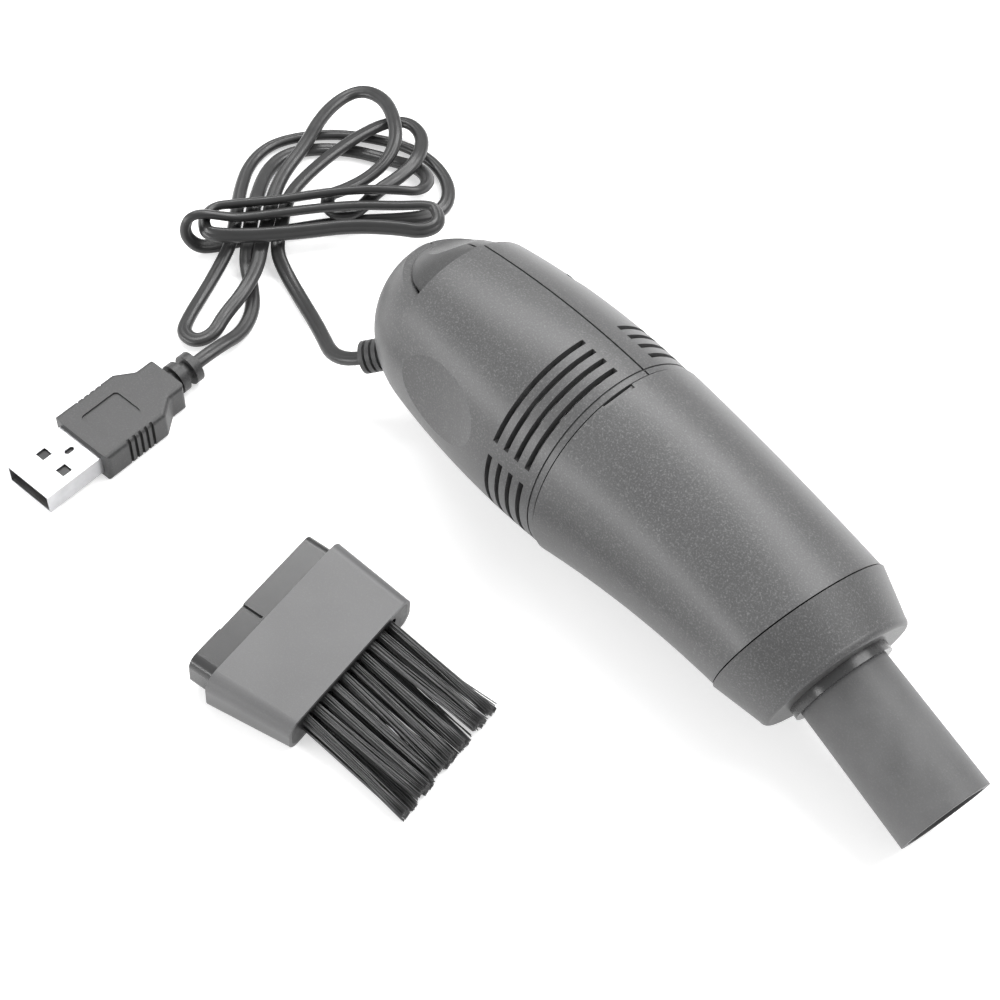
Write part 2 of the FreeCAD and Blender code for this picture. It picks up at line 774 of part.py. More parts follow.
def rocker_cap():
    """The button: a dome piece sunk a little inside the rim, scooped on top, hung on two lugs."""
    name = "rocker_cap"
    arcs = outline_edges(v.rocker_sink, -ROCKER_CUT_BACK + v.overrun)
    plan_back = ROCKER_CUT_BACK - v.rocker_plan_ahead
    start = arcs[0].StartPoint
    tip = arcs[-1].EndPoint
    body = new_body(name)
    close = lines_through([(tip.x, 0.0), (start.x, 0.0), (start.x, start.y)])
    dome_sketch = new_sketch(body, "XZ_Plane", name + "_dome_outline", arcs + close)
    feature(body, "Revolution", name + "_dome", dome_sketch, Angle=FULL_TURN,
            ReferenceAxis=(dome_sketch, ["H_Axis"]))
    # the plan: a round back edge inside the rim
    plan = new_sketch(body, "XY_Plane", name + "_plan",
                      circle(-plan_back, 0.0, v.rocker_plan_radius)
                      + circle(-plan_back, 0.0, 2 * v.ring_radius))
    feature(body, "Pocket", name + "_plan_cut", plan, Length=4 * v.ring_radius, Midplane=True)
    under = new_sketch(body, "XZ_Plane", name + "_under",
                       rectangle(-TIP_BACK - 2 * v.overrun, -v.ring_radius - v.overrun,
                                 -ROCKER_CUT_BACK + 2 * v.overrun, ROCKER_UNDER))
    feature(body, "Pocket", name + "_under_cut", under, Length=4 * v.ring_radius, Midplane=True)
    # the front face leans back so that its top edge clears the shell when pressed
    front_x = -ROCKER_CUT_BACK - v.rocker_edge_gap
    rise = v.ring_radius - ROCKER_UNDER
    lean = rise * math.tan(math.radians(v.rocker_travel))
    front = new_sketch(body, "XZ_Plane", name + "_front", lines_through([
        (front_x, ROCKER_UNDER - v.overrun),
        (front_x - lean, v.ring_radius),
        (front_x + 2 * v.ring_radius, v.ring_radius),
        (front_x + 2 * v.ring_radius, ROCKER_UNDER - v.overrun),
        (front_x, ROCKER_UNDER - v.overrun),
    ]))
    feature(body, "Pocket", name + "_front_cut", front, Length=4 * v.ring_radius, Midplane=True)
    scoop = new_sketch(body, "XZ_Plane", name + "_scoop", circle(*scoop_centre(), v.scoop_radius))
    feature(body, "Pocket", name + "_scoop_cut", scoop, Length=4 * v.ring_radius, Midplane=True)
    # lugs on the pin
    for tag, inner in (("left", v.rocker_lug_spread / 2 - v.rocker_lug_thickness),
                       ("right", -v.rocker_lug_spread / 2)):
        lug = new_sketch(body, "XZ_Plane", name + "_lug_" + tag, [
            Part.Arc(Vector(-PIVOT_BACK - v.rocker_lug_radius, PIVOT_HEIGHT),
                     Vector(-PIVOT_BACK, PIVOT_HEIGHT - v.rocker_lug_radius),
                     Vector(-PIVOT_BACK + v.rocker_lug_radius, PIVOT_HEIGHT)),
        ] + lines_through([
            (-PIVOT_BACK + v.rocker_lug_radius, PIVOT_HEIGHT),
            (-PIVOT_BACK + v.rocker_lug_radius, ROCKER_UNDER + v.scoop_floor * v.half_share),
            (-PIVOT_BACK - v.rocker_lug_radius, ROCKER_UNDER + v.scoop_floor * v.half_share),
            (-PIVOT_BACK - v.rocker_lug_radius, PIVOT_HEIGHT),
        ]), Placement(Vector(0, 0, -inner), Rotation()))
        feature(body, "Pad", name + "_lug_pad_" + tag, lug, Length=v.rocker_lug_thickness,
                Reversed=True)
    bore = new_sketch(body, "XZ_Plane", name + "_bore",
                      circle(-PIVOT_BACK, PIVOT_HEIGHT, v.rocker_pin_radius + v.pin_running_gap))
    feature(body, "Pocket", name + "_bore_cut", bore, Length=v.rocker_lug_spread + v.overrun,
            Midplane=True)
    # the dash sunk into the top
    mark = new_sketch(body, "XY_Plane", name + "_mark",
                      rectangle(mark_back(), -v.mark_width / 2, mark_back() + v.mark_length,
                                v.mark_width / 2),
                      Placement(Vector(0, 0, mark_floor()), Rotation()))
    feature(body, "Pocket", name + "_mark_cut", mark, Length=v.ring_radius, Reversed=True)
    return keep(name, body, LAY)


def mark_back():
    """X of the rear end of the dash."""
    return -ROCKER_CUT_BACK - v.mark_behind


def mark_floor():
    """Height of the bottom of the dash, below the top at the middle of the dash."""
    return outline_radius(mark_back() + v.mark_length / 2, v.rocker_sink) - v.mark_depth


def rocker_pin():
    pin = cylinder("rocker_pin", v.rocker_pin_radius, pin_length(), Placement(),
                   Radius="$rocker_pin_radius")
    place = Placement(Vector(-PIVOT_BACK, pin_length() / 2, PIVOT_HEIGHT),
                      Rotation(X_AXIS, QUARTER_TURN))
    return keep("rocker_pin", pin, LAY * place)


def switch_unit():
    """Micro switch on its shelf, with a plunger and three terminals."""
    bottom = SWITCH_TOP - v.switch_drop
    plunger_back = SWITCH_BACK + v.plunger_inset
    press = (PIVOT_BACK - plunger_back + v.plunger_radius) * math.tan(math.radians(v.rocker_travel))
    plunger_height = ROCKER_UNDER - SWITCH_TOP - press - v.plunger_gap
    case = box("switch_case", v.switch_length, v.switch_width, v.switch_drop,
               at(-SWITCH_BACK - v.switch_length, -v.switch_width / 2, bottom),
               Length="$switch_length", Width="$switch_width", Height="$switch_drop")
    plunger = cylinder("switch_plunger", v.plunger_radius, plunger_height,
                       at(-plunger_back, 0.0, SWITCH_TOP), Radius="$plunger_radius")
    terminals = []
    for number in (-1, 0, 1):
        terminals.append(box("switch_terminal%d" % (number + 2), v.terminal_thickness,
                             v.terminal_width, v.terminal_length,
                             at(-SWITCH_BACK - v.switch_length / 2,
                                number * v.terminal_spread / 2 - v.terminal_width / 2,
                                bottom - v.terminal_length),
                             Length="$terminal_thickness", Width="$terminal_width",
                             Height="$terminal_length"))
    return keep("switch_body", fuse("switch_body", case, plunger, *terminals), LAY)


# Motor and fan

def bored(name, blank, front_x, length):
    """Cuts the shaft hole through a blank that starts at front_x and runs back."""
    hole = cylinder(name + "_hole", v.shaft_radius + v.pin_running_gap, length + 2 * v.overrun,
                    along_x(front_x - length - v.overrun),
                    Radius="$shaft_radius + $pin_running_gap")
    return cut(name, blank, hole)


def motor_can():
    front = -v.motor_front_back
    can = cylinder("motor_blank", v.motor_radius, v.motor_length, along_x(front - v.motor_length),
                   Radius="$motor_radius", Height="$motor_length")
    boss = cylinder("motor_bearing", v.bearing_radius, v.bearing_length, along_x(front),
                    Radius="$bearing_radius", Height="$bearing_length")
    blank = fuse("motor_solid", can, boss)
    length = v.motor_length + v.bearing_length
    return keep("motor_can", bored("motor_can", blank, front + v.bearing_length, length), LAY)


def motor_end_cap():
    front = -v.motor_front_back - v.motor_length
    cap = cylinder("motor_cap_blank", v.motor_cap_radius, v.motor_cap_length,
                   along_x(front - v.motor_cap_length),
                   Radius="$motor_cap_radius", Height="$motor_cap_length")
    back = front - v.motor_cap_length
    boss = cylinder("motor_cap_bearing", v.bearing_radius, v.bearing_length,
                    along_x(back - v.bearing_length),
                    Radius="$bearing_radius", Height="$bearing_length")
    blank = fuse("motor_cap_solid", cap, boss)
    length = v.motor_cap_length + v.bearing_length
    return keep("motor_end_cap", bored("motor_end_cap", blank, front, length), LAY)


def motor_mount_plate():
    """Disc in front of the motor that carries it in the shells, with air holes round it."""
    back = -v.motor_front_back
    radius = outline_radius(back, v.wall) - v.disc_gap
    disc = cylinder("mount_disc", radius, v.mount_plate_thickness, along_x(back))
    holes = [cylinder("mount_middle_hole", v.bearing_radius + v.disc_gap,
                      v.mount_plate_thickness + 2 * v.overrun, along_x(back - v.overrun))]
    reach = (v.motor_radius + radius) * v.half_share
    for number in range(int(v.mount_hole_count)):
        angle = math.radians(FULL_TURN * number / v.mount_hole_count)
        holes.append(cylinder("mount_air_hole%d" % (number + 1), v.mount_hole_radius,
                              v.mount_plate_thickness + 2 * v.overrun,
                              along_x(back - v.overrun, reach * math.cos(angle),
                                      reach * math.sin(angle)),
                              Radius="$mount_hole_radius"))
    made = cut("motor_mount_plate", disc, fuse("mount_holes", *holes))
    return keep("motor_mount_plate", made, LAY)


def motor_shaft():
    length = SHAFT_BACK - v.impeller_back + v.impeller_disc + v.blade_height
    shaft = cylinder("motor_shaft", v.shaft_radius, length, along_x(-SHAFT_BACK),
                     Radius="$shaft_radius")
    return keep("motor_shaft", shaft, LAY * shaft.Placement)


def impeller():
    """Fan wheel: a back disc, a hub pressed on the shaft and eight curved blades."""
    name = "impeller"
    body = new_body(name)
    at_back = Placement(Vector(0, 0, -v.impeller_back), Rotation())
    radius = outline_radius(-v.impeller_back, v.wall) - v.fan_gap
    disc_sketch = new_sketch(body, "YZ_Plane", name + "_disc", circle(0.0, 0.0, radius), at_back)
    feature(body, "Pad", name + "_disc_pad", disc_sketch, Length=v.impeller_disc)
    hub_sketch = new_sketch(body, "YZ_Plane", name + "_hub",
                            circle(0.0, 0.0, v.impeller_hub_radius), at_back)
    feature(body, "Pad", name + "_hub_pad", hub_sketch, Length=v.impeller_disc + v.blade_height)
    cx, cy = v.blade_inner_radius, v.blade_curve_radius
    arcs = []
    ends = []
    for reach in (v.blade_curve_radius - v.blade_thickness / 2,
                  v.blade_curve_radius + v.blade_thickness / 2):
        points = []
        for share in (0.0, v.half_share, 1.0):
            angle = math.radians(-QUARTER_TURN + v.blade_sweep * share)
            points.append(Vector(cx + reach * math.cos(angle), cy + reach * math.sin(angle), 0))
        arcs.append(Part.Arc(*points))
        ends.append((points[0], points[-1]))
    caps = [Part.LineSegment(ends[0][0], ends[1][0]), Part.LineSegment(ends[0][1], ends[1][1])]
    blade_sketch = new_sketch(body, "YZ_Plane", name + "_blade", arcs + caps,
                              Placement(Vector(0, 0, -v.impeller_back + v.impeller_disc / 2),
                                        Rotation()))
    blade = feature(body, "Pad", name + "_blade_pad", blade_sketch,
                    Length=v.blade_height + v.impeller_disc / 2 - v.hub_step)
    ring = body.newObject("PartDesign::PolarPattern", name + "_blades")
    ring.Originals = [blade]
    ring.Axis = (disc_sketch, ["N_Axis"])
    ring.Angle = FULL_TURN
    ring.Occurrences = int(v.blade_count)
    body.Tip = ring
    bore = new_sketch(body, "YZ_Plane", name + "_bore", circle(0.0, 0.0, v.shaft_radius), at_back)
    feature(body, "Pocket", name + "_bore_cut", bore, Length=4 * v.blade_height, Midplane=True)
    return keep(name, body, LAY)


def inlet_plate():
    """Disc with the fan's eye, clamped behind the neck."""
    back = -v.neck_root - v.inlet_plate_thickness
    radius = outline_radius(back, v.wall) - v.disc_gap
    disc = cylinder("inlet_disc", radius, v.inlet_plate_thickness, along_x(back))
    hole = cylinder("inlet_eye", v.inlet_hole_radius, v.inlet_plate_thickness + 2 * v.overrun,
                    along_x(back - v.overrun), Radius="$inlet_hole_radius")
    return keep("inlet_plate", cut("inlet_plate", disc, hole), LAY)


# Filter and seal

def filter_frame():
    outer = NECK_RADIUS - v.neck_wall - v.disc_gap
    lip = NECK_RADIUS - v.filter_lip_inset
    inner = outer - v.filter_ring_wall
    front = v.neck_length + v.filter_lip_length
    made = turned("filter_frame", [
        (v.neck_length - v.filter_ring_length, inner),
        (front, inner),
        (front, lip),
        (v.neck_length, lip),
        (v.neck_length, outer),
        (v.neck_length - v.filter_ring_length, outer),
    ])
    return keep("filter_frame", made, LAY)


def filter_cloth():
    base = NECK_RADIUS - v.neck_wall - v.disc_gap - v.filter_ring_wall
    back = v.neck_length - v.filter_ring_length
    front = back + v.filter_cloth_depth
    made = turned("filter_cloth", [
        (back, base - v.filter_cloth_thickness),
        (front - v.filter_cloth_thickness, v.filter_cloth_front_radius - v.filter_cloth_thickness),
        (front - v.filter_cloth_thickness, 0.0),
        (front, 0.0),
        (front, v.filter_cloth_front_radius),
        (v.neck_length + v.filter_lip_length, base),
        (back, base),
    ])
    return keep("filter_cloth", made, LAY)


def seal_ring():
    made = turned("seal_ring", [
        (v.seal_ahead, NECK_RADIUS - v.seal_depth),
        (v.seal_ahead + v.seal_width, NECK_RADIUS - v.seal_depth),
        (v.seal_ahead + v.seal_width, NECK_RADIUS + v.seal_proud),
        (v.seal_ahead, NECK_RADIUS + v.seal_proud),
    ])
    return keep("seal_ring", made, LAY)


# Dust cup, nose and nozzle

def oval(half_width, half_height, x=0.0, y=0.0):
    return [Part.Ellipse(Vector(x + half_width, y, 0), Vector(x, y + half_height, 0),
                         Vector(x, y, 0))]


def across(x=0.0, z=0.0, tilt=0.0):
    """Offset for a sketch on the YZ plane: moved along X and Z and tilted nose down."""
    return Placement(Vector(0, z, x), Rotation(X_AXIS, tilt))


def cup_front(inset=0.0):
    """Centre of the cup's front plane, or of a plane inset behind it."""
    tilt = math.radians(v.cup_front_tilt)
    return (v.cup_front_reach - inset * math.cos(tilt), -v.cup_front_drop + inset * math.sin(tilt))


def loft(body, kind, name, sections):
    made = body.newObject("PartDesign::" + kind, name)
    made.Profile = sections[0]
    made.Sections = sections[1:]
    return made


def dust_cup():
    """Clear way for the dust: a tube that turns from round to oval, with the nozzle's socket."""
    name = "dust_cup"
    body = new_body(name)
    fx, fz = cup_front()
    middle = across(v.cup_front_reach / 2, v.cup_middle_rise, v.cup_front_tilt / 2)
    rear_radius = v.ring_radius + v.cup_proud
    middle_width = v.ring_radius - v.cup_middle_narrow
    middle_height = v.ring_radius - v.cup_middle_flat
    outer = [
        new_sketch(body, "YZ_Plane", name + "_rear", circle(0.0, 0.0, rear_radius),
                   across(CUP_REAR)),
        new_sketch(body, "YZ_Plane", name + "_middle", oval(middle_width, middle_height), middle),
        new_sketch(body, "YZ_Plane", name + "_front", oval(CUP_HALF_WIDTH, CUP_HALF_HEIGHT),
                   across(fx, fz, v.cup_front_tilt)),
    ]
    loft(body, "AdditiveLoft", name + "_outer", outer)
    bx, bz = cup_front(v.cup_plate)
    inner = [
        new_sketch(body, "YZ_Plane", name + "_rear_in", circle(0.0, 0.0, rear_radius - v.cup_wall),
                   across(CUP_REAR - v.overrun)),
        new_sketch(body, "YZ_Plane", name + "_middle_in",
                   oval(middle_width - v.cup_wall, middle_height - v.cup_wall), middle),
        new_sketch(body, "YZ_Plane", name + "_front_in",
                   oval(CUP_HALF_WIDTH - v.cup_wall, CUP_HALF_HEIGHT - v.cup_wall),
                   across(bx, bz, v.cup_front_tilt)),
    ]
    loft(body, "SubtractiveLoft", name + "_inner", inner)
    ax, az = cup_front(-v.overrun)
    socket = new_sketch(body, "YZ_Plane", name + "_socket",
                        rounded_rectangle(v.spigot_width + 2 * v.socket_clearance,
                                          v.spigot_height + 2 * v.socket_clearance,
                                          v.spigot_corner + v.socket_clearance),
                        across(ax, az, v.cup_front_tilt))
    feature(body, "Pocket", name + "_socket_cut", socket, Length=v.cup_plate + 2 * v.overrun)
    notch = body.newObject("PartDesign::SubtractiveBox", name + "_notch")
    notch.Length = v.notch_length + v.overrun
    notch.Width = v.notch_width
    notch.Height = v.notch_depth + v.overrun
    notch.Placement = (Placement(Vector(), Rotation(X_AXIS, v.notch_angle))
                       * at(CUP_REAR - v.overrun, -v.notch_width / 2, rear_radius - v.notch_depth))
    return keep(name, body, LAY)


NOSE = LAY * Placement(Vector(cup_front()[0], 0, cup_front()[1]), Rotation(Y_AXIS, v.cup_front_tilt))


def nose_cap():
    """Nose that plugs into the cup: oval outside, hollow, with a spigot behind."""
    name = "nose_cap"
    body = new_body(name)
    a = CUP_HALF_WIDTH - v.nose_front_narrow
    b = CUP_HALF_HEIGHT - v.nose_front_flat
    edge = v.nose_edge
    edge_start = new_sketch(body, "YZ_Plane", name + "_edge_start", oval(a, b),
                            across(v.nose_length - edge, v.nose_front_rise))
    loft(body, "AdditiveLoft", name + "_outer", [
        new_sketch(body, "YZ_Plane", name + "_rear",
                   oval(CUP_HALF_WIDTH + v.nose_step, CUP_HALF_HEIGHT + v.nose_step),
                   across(v.nose_gap)),
        edge_start,
    ])
    rounding = [edge_start]
    for number, share in enumerate((v.half_share, 1.0), start=1):
        drop = edge * (1 - math.sqrt(1 - share ** 2)) * v.edge_share
        rounding.append(new_sketch(body, "YZ_Plane", name + "_edge%d" % number,
                                   oval(a - drop, b - drop),
                                   across(v.nose_length - edge * (1 - share), v.nose_front_rise)))
    loft(body, "AdditiveLoft", name + "_rounding", rounding)
    spigot = new_sketch(body, "YZ_Plane", name + "_spigot", spigot_outline(),
                        across(-v.spigot_length))
    feature(body, "Pad", name + "_spigot_pad", spigot, Length=v.spigot_length + v.nose_gap
            + v.nose_face)
    way = new_sketch(body, "YZ_Plane", name + "_way", spigot_outline(v.spigot_wall),
                     across(-v.spigot_length - v.overrun))
    feature(body, "Pocket", name + "_way_cut", way, Length=v.spigot_length + v.nose_gap
            + 2 * v.overrun, Reversed=True)
    loft(body, "SubtractiveLoft", name + "_inner", [
        new_sketch(body, "YZ_Plane", name + "_way_rear", spigot_outline(v.spigot_wall),
                   across(v.nose_gap)),
        new_sketch(body, "YZ_Plane", name + "_way_front",
                   rounded_rectangle(2 * v.nose_way_half_width, 2 * v.nose_way_half_height,
                                     v.nose_way_corner),
                   across(v.nose_length - v.nose_face, v.nose_front_rise)),
    ])
    hole = new_sketch(body, "YZ_Plane", name + "_hole",
                      circle(0.0, v.nose_front_rise, v.tube_neck_radius),
                      across(v.nose_length + v.overrun))
    feature(body, "Pocket", name + "_hole_cut", hole, Length=v.nose_face + 2 * v.overrun)
    barb_room = new_sketch(body, "YZ_Plane", name + "_barb_room",
                           circle(0.0, v.nose_front_rise, v.tube_barb_radius + v.disc_gap),
                           across(v.nose_length - v.nose_face))
    feature(body, "Pocket", name + "_barb_room_cut", barb_room,
            Length=v.tube_barb_length + v.overrun)
    return keep(name, body, NOSE)


def nozzle_collar():
    front = v.nose_length
    disc = cylinder("collar_disc", v.collar_radius, v.collar_length,
                    along_x(front, 0.0, v.nose_front_rise),
                    Radius="$collar_radius", Height="$collar_length")
    hole = cylinder("collar_hole", v.tube_neck_radius, v.collar_length + 2 * v.overrun,
                    along_x(front - v.overrun, 0.0, v.nose_front_rise), Radius="$tube_neck_radius")
    return keep("nozzle_collar", cut("nozzle_collar", disc, hole), NOSE)


def nozzle_tube():
    """Soft round nozzle with a barbed root held in the nose."""
    root = v.nose_length + v.collar_length
    behind = v.nose_length - v.nose_face
    mouth = v.nose_length + v.tube_length
    made = turned("nozzle_tube", [
        (behind - v.tube_barb_length, v.tube_neck_bore),
        (root, v.tube_neck_bore),
        (root + v.tube_barb_length, v.tube_bore_radius),
        (mouth, v.tube_bore_radius),
        (mouth, v.tube_mouth_radius),
        (root, v.tube_root_radius),
        (root, v.tube_neck_radius),
        (behind, v.tube_neck_radius),
        (behind, v.tube_barb_radius),
        (behind - v.tube_barb_length, v.tube_neck_radius),
    ])
    return keep("nozzle_tube", made, NOSE * at(0.0, 0.0, v.nose_front_rise))


# Gland of the lead

def strain_relief():
    """Rubber sleeve round the lead where it leaves the right shell."""
    seat, direction = gland_seat()
    name = "strain_relief"
    parts = [
        cylinder(name + "_tail", v.gland_radius - v.disc_gap, v.gland_tail + v.overrun / 2,
                 at(0.0, 0.0, -v.gland_tail)),
        cone(name + "_cone", v.gland_radius - v.disc_gap, v.gland_tip_radius, v.gland_length,
             Placement(), Radius2="$gland_tip_radius", Height="$gland_length"),
        cylinder(name + "_flange", v.gland_flange_radius, v.gland_flange_length,
                 at(0.0, 0.0, -v.gland_tail - v.gland_flange_length),
                 Radius="$gland_flange_radius", Height="$gland_flange_length"),
    ]
    for number in range(int(v.gland_ribs)):
        step = (v.gland_length - v.gland_first_rib) / v.gland_ribs
        parts.append(cylinder(name + "_rib%d" % (number + 1), v.gland_rib_radius, v.gland_rib_length,
                              at(0.0, 0.0, v.gland_first_rib + number * step),
                              Radius="$gland_rib_radius", Height="$gland_rib_length"))
    hole = cylinder(name + "_hole", v.cord_diameter / 2, 2 * (v.gland_tail + v.gland_length),
                    at(0.0, 0.0, -v.gland_tail - v.gland_length), Radius="$cord_diameter / 2")
    made = cut(name, fuse(name + "_blank", *parts), hole)
    return keep(name, made, LAY * Placement(seat, Rotation(Z_AXIS, direction)))


# Plug: X toward the mouth, origin where the metal leaves the moulded grip

def plug_place():
    return Placement(Vector(v.plug_place_x, v.plug_place_y, v.mould_height / 2),
                     Rotation(Z_AXIS, v.plug_turn))


def usb_shell():
    """Folded metal shell with two square holes on each broad side and a round-ended one."""
    name = "usb_shell"
    body = new_body(name)
    w, h, t = v.shell_width, v.shell_height, v.shell_wall
    ring = new_sketch(body, "YZ_Plane", name + "_ring",
                      rectangle(-w / 2, -h / 2, w / 2, h / 2)
                      + rectangle(-w / 2 + t, -h / 2 + t, w / 2 - t, h / 2 - t),
                      across(-v.shell_tail))
    feature(body, "Pad", name + "_pad", ring, Length=v.shell_length + v.shell_tail)
    half = v.shell_hole / 2
    holes = []
    for side in (-1, 1):
        y = side * v.shell_hole_spread / 2
        holes += rectangle(v.shell_hole_ahead - half, y - half, v.shell_hole_ahead + half, y + half)
    holes += stadium(v.shell_slot_length, v.shell_slot_width, v.shell_slot_ahead)
    hole_sketch = new_sketch(body, "XY_Plane", name + "_holes", holes)
    feature(body, "Pocket", name + "_hole_cut", hole_sketch, Length=2 * h, Midplane=True)
    return keep(name, body, plug_place())


def usb_tongue():
    w, h = v.tongue_width, v.tongue_height
    top = v.shell_height / 2 - v.shell_wall - v.disc_gap
    tongue = box("usb_tongue", v.tongue_length + v.shell_tail, w, h, Placement(),
                 Width="$tongue_width", Height="$tongue_height",
                 Length="$tongue_length + $shell_tail")
    return keep("usb_tongue", tongue, plug_place() * at(-v.shell_tail, -w / 2, top - h))


def usb_contacts():
    """Four gold strips under the tongue, kept as separate solids."""
    under = v.shell_height / 2 - v.shell_wall - v.disc_gap - v.tongue_height
    strips = []
    spread = (-v.contact_outer_spread, -v.contact_inner_spread,
              v.contact_inner_spread, v.contact_outer_spread)
    for number, y in enumerate(spread, start=1):
        strips.append(box("contact%d" % number, v.contact_length, v.contact_width,
                          v.contact_thickness,
                          at(v.tongue_length - v.contact_length - v.overrun,
                             y / 2 - v.contact_width / 2, under - v.contact_thickness),
                          Length="$contact_length", Width="$contact_width",
                          Height="$contact_thickness"))
    made = doc.addObject("Part::Compound", "usb_contacts")
    made.Links = strips
    return keep("usb_contacts", made, plug_place())


def plug_grip():
    """Moulded grip: a block with side ribs and a sunk panel, then a narrower step."""
    name = "plug_grip"
    body = new_body(name)
    w, h = v.mould_width, v.mould_height
    taper_end = -v.mould_length - v.mould_taper
    block = new_sketch(body, "XY_Plane", name + "_block", lines_through([
        (0.0, w / 2),
        (-v.mould_length, w / 2),
        (taper_end, v.mould_step_width / 2),
        (taper_end - v.mould_step_length, v.mould_step_width / 2),
        (taper_end - v.mould_step_length, -v.mould_step_width / 2),
        (taper_end, -v.mould_step_width / 2),
        (-v.mould_length, -w / 2),
        (0.0, -w / 2),
        (0.0, w / 2),
    ]))
    pad = feature(body, "Pad", name + "_block_pad", block, Length=h, Midplane=True)
    doc.recompute()
    edges = ["Edge%d" % i for i, e in enumerate(pad.Shape.Edges, start=1)
             if abs(e.tangentAt(e.FirstParameter).x) > v.half_share or e.BoundBox.ZLength > h / 2]
    rounded = body.newObject("PartDesign::Fillet", name + "_edges")
    rounded.Base = (pad, edges)
    rounded.Radius = v.mould_edge
    grooves = []
    for number in range(int(v.mould_groove_count)):
        x = -v.mould_groove_ahead - number * v.mould_groove_pitch
        for side in (-1, 1):
            y = side * (w / 2 - v.mould_groove_depth)
            grooves += rectangle(x - v.mould_groove_width, min(y, side * w), x, max(y, side * w))
    ribs = new_sketch(body, "XY_Plane", name + "_grooves", grooves)
    feature(body, "Pocket", name + "_groove_cut", ribs, Length=2 * h, Midplane=True)
    panel = new_sketch(body, "XY_Plane", name + "_panel",
                       rounded_rectangle(v.panel_length, v.panel_width, v.panel_corner,
                                         -v.panel_ahead - v.panel_length / 2),
                       Placement(Vector(0, 0, h / 2 - v.panel_depth), Rotation()))
    feature(body, "Pocket", name + "_panel_cut", panel, Length=v.overrun, Reversed=True)
    tail = new_sketch(body, "YZ_Plane", name + "_tail_hole",
                      rectangle(-v.shell_width / 2, -v.shell_height / 2,
                                v.shell_width / 2, v.shell_height / 2), across(-v.shell_tail))
    feature(body, "Pocket", name + "_tail_cut", tail, Length=v.shell_tail + v.overrun, Reversed=True)
    return keep(name, body, plug_place())


def plug_relief():
    """Ringed rubber tail of the plug round the cord."""
    name = "plug_relief"
    start = -v.mould_length - v.mould_taper - v.mould_step_length
    core = cone(name + "_core", v.relief_tip_radius, v.relief_radius, v.relief_length,
                along_x(start - v.relief_length),
                Radius1="$relief_tip_radius", Radius2="$relief_radius", Height="$relief_length")
    parts = [core]
    for number in range(int(v.relief_rings)):
        x = start - v.relief_first_ring - v.relief_ring_length - number * v.relief_ring_pitch
        parts.append(cylinder(name + "_ring%d" % (number + 1), v.relief_ring_radius,
                              v.relief_ring_length, along_x(x),
                              Radius="$relief_ring_radius", Height="$relief_ring_length"))
    hole = cylinder(name + "_hole", v.cord_diameter / 2, v.relief_grip + v.overrun,
                    along_x(start - v.relief_length - v.overrun), Radius="$cord_diameter / 2")
    made = cut(name, fuse(name + "_blank", *parts), hole)
    return keep(name, made, plug_place())


# Lead: points on the desk chosen by hand, between the gland and the plug's tail

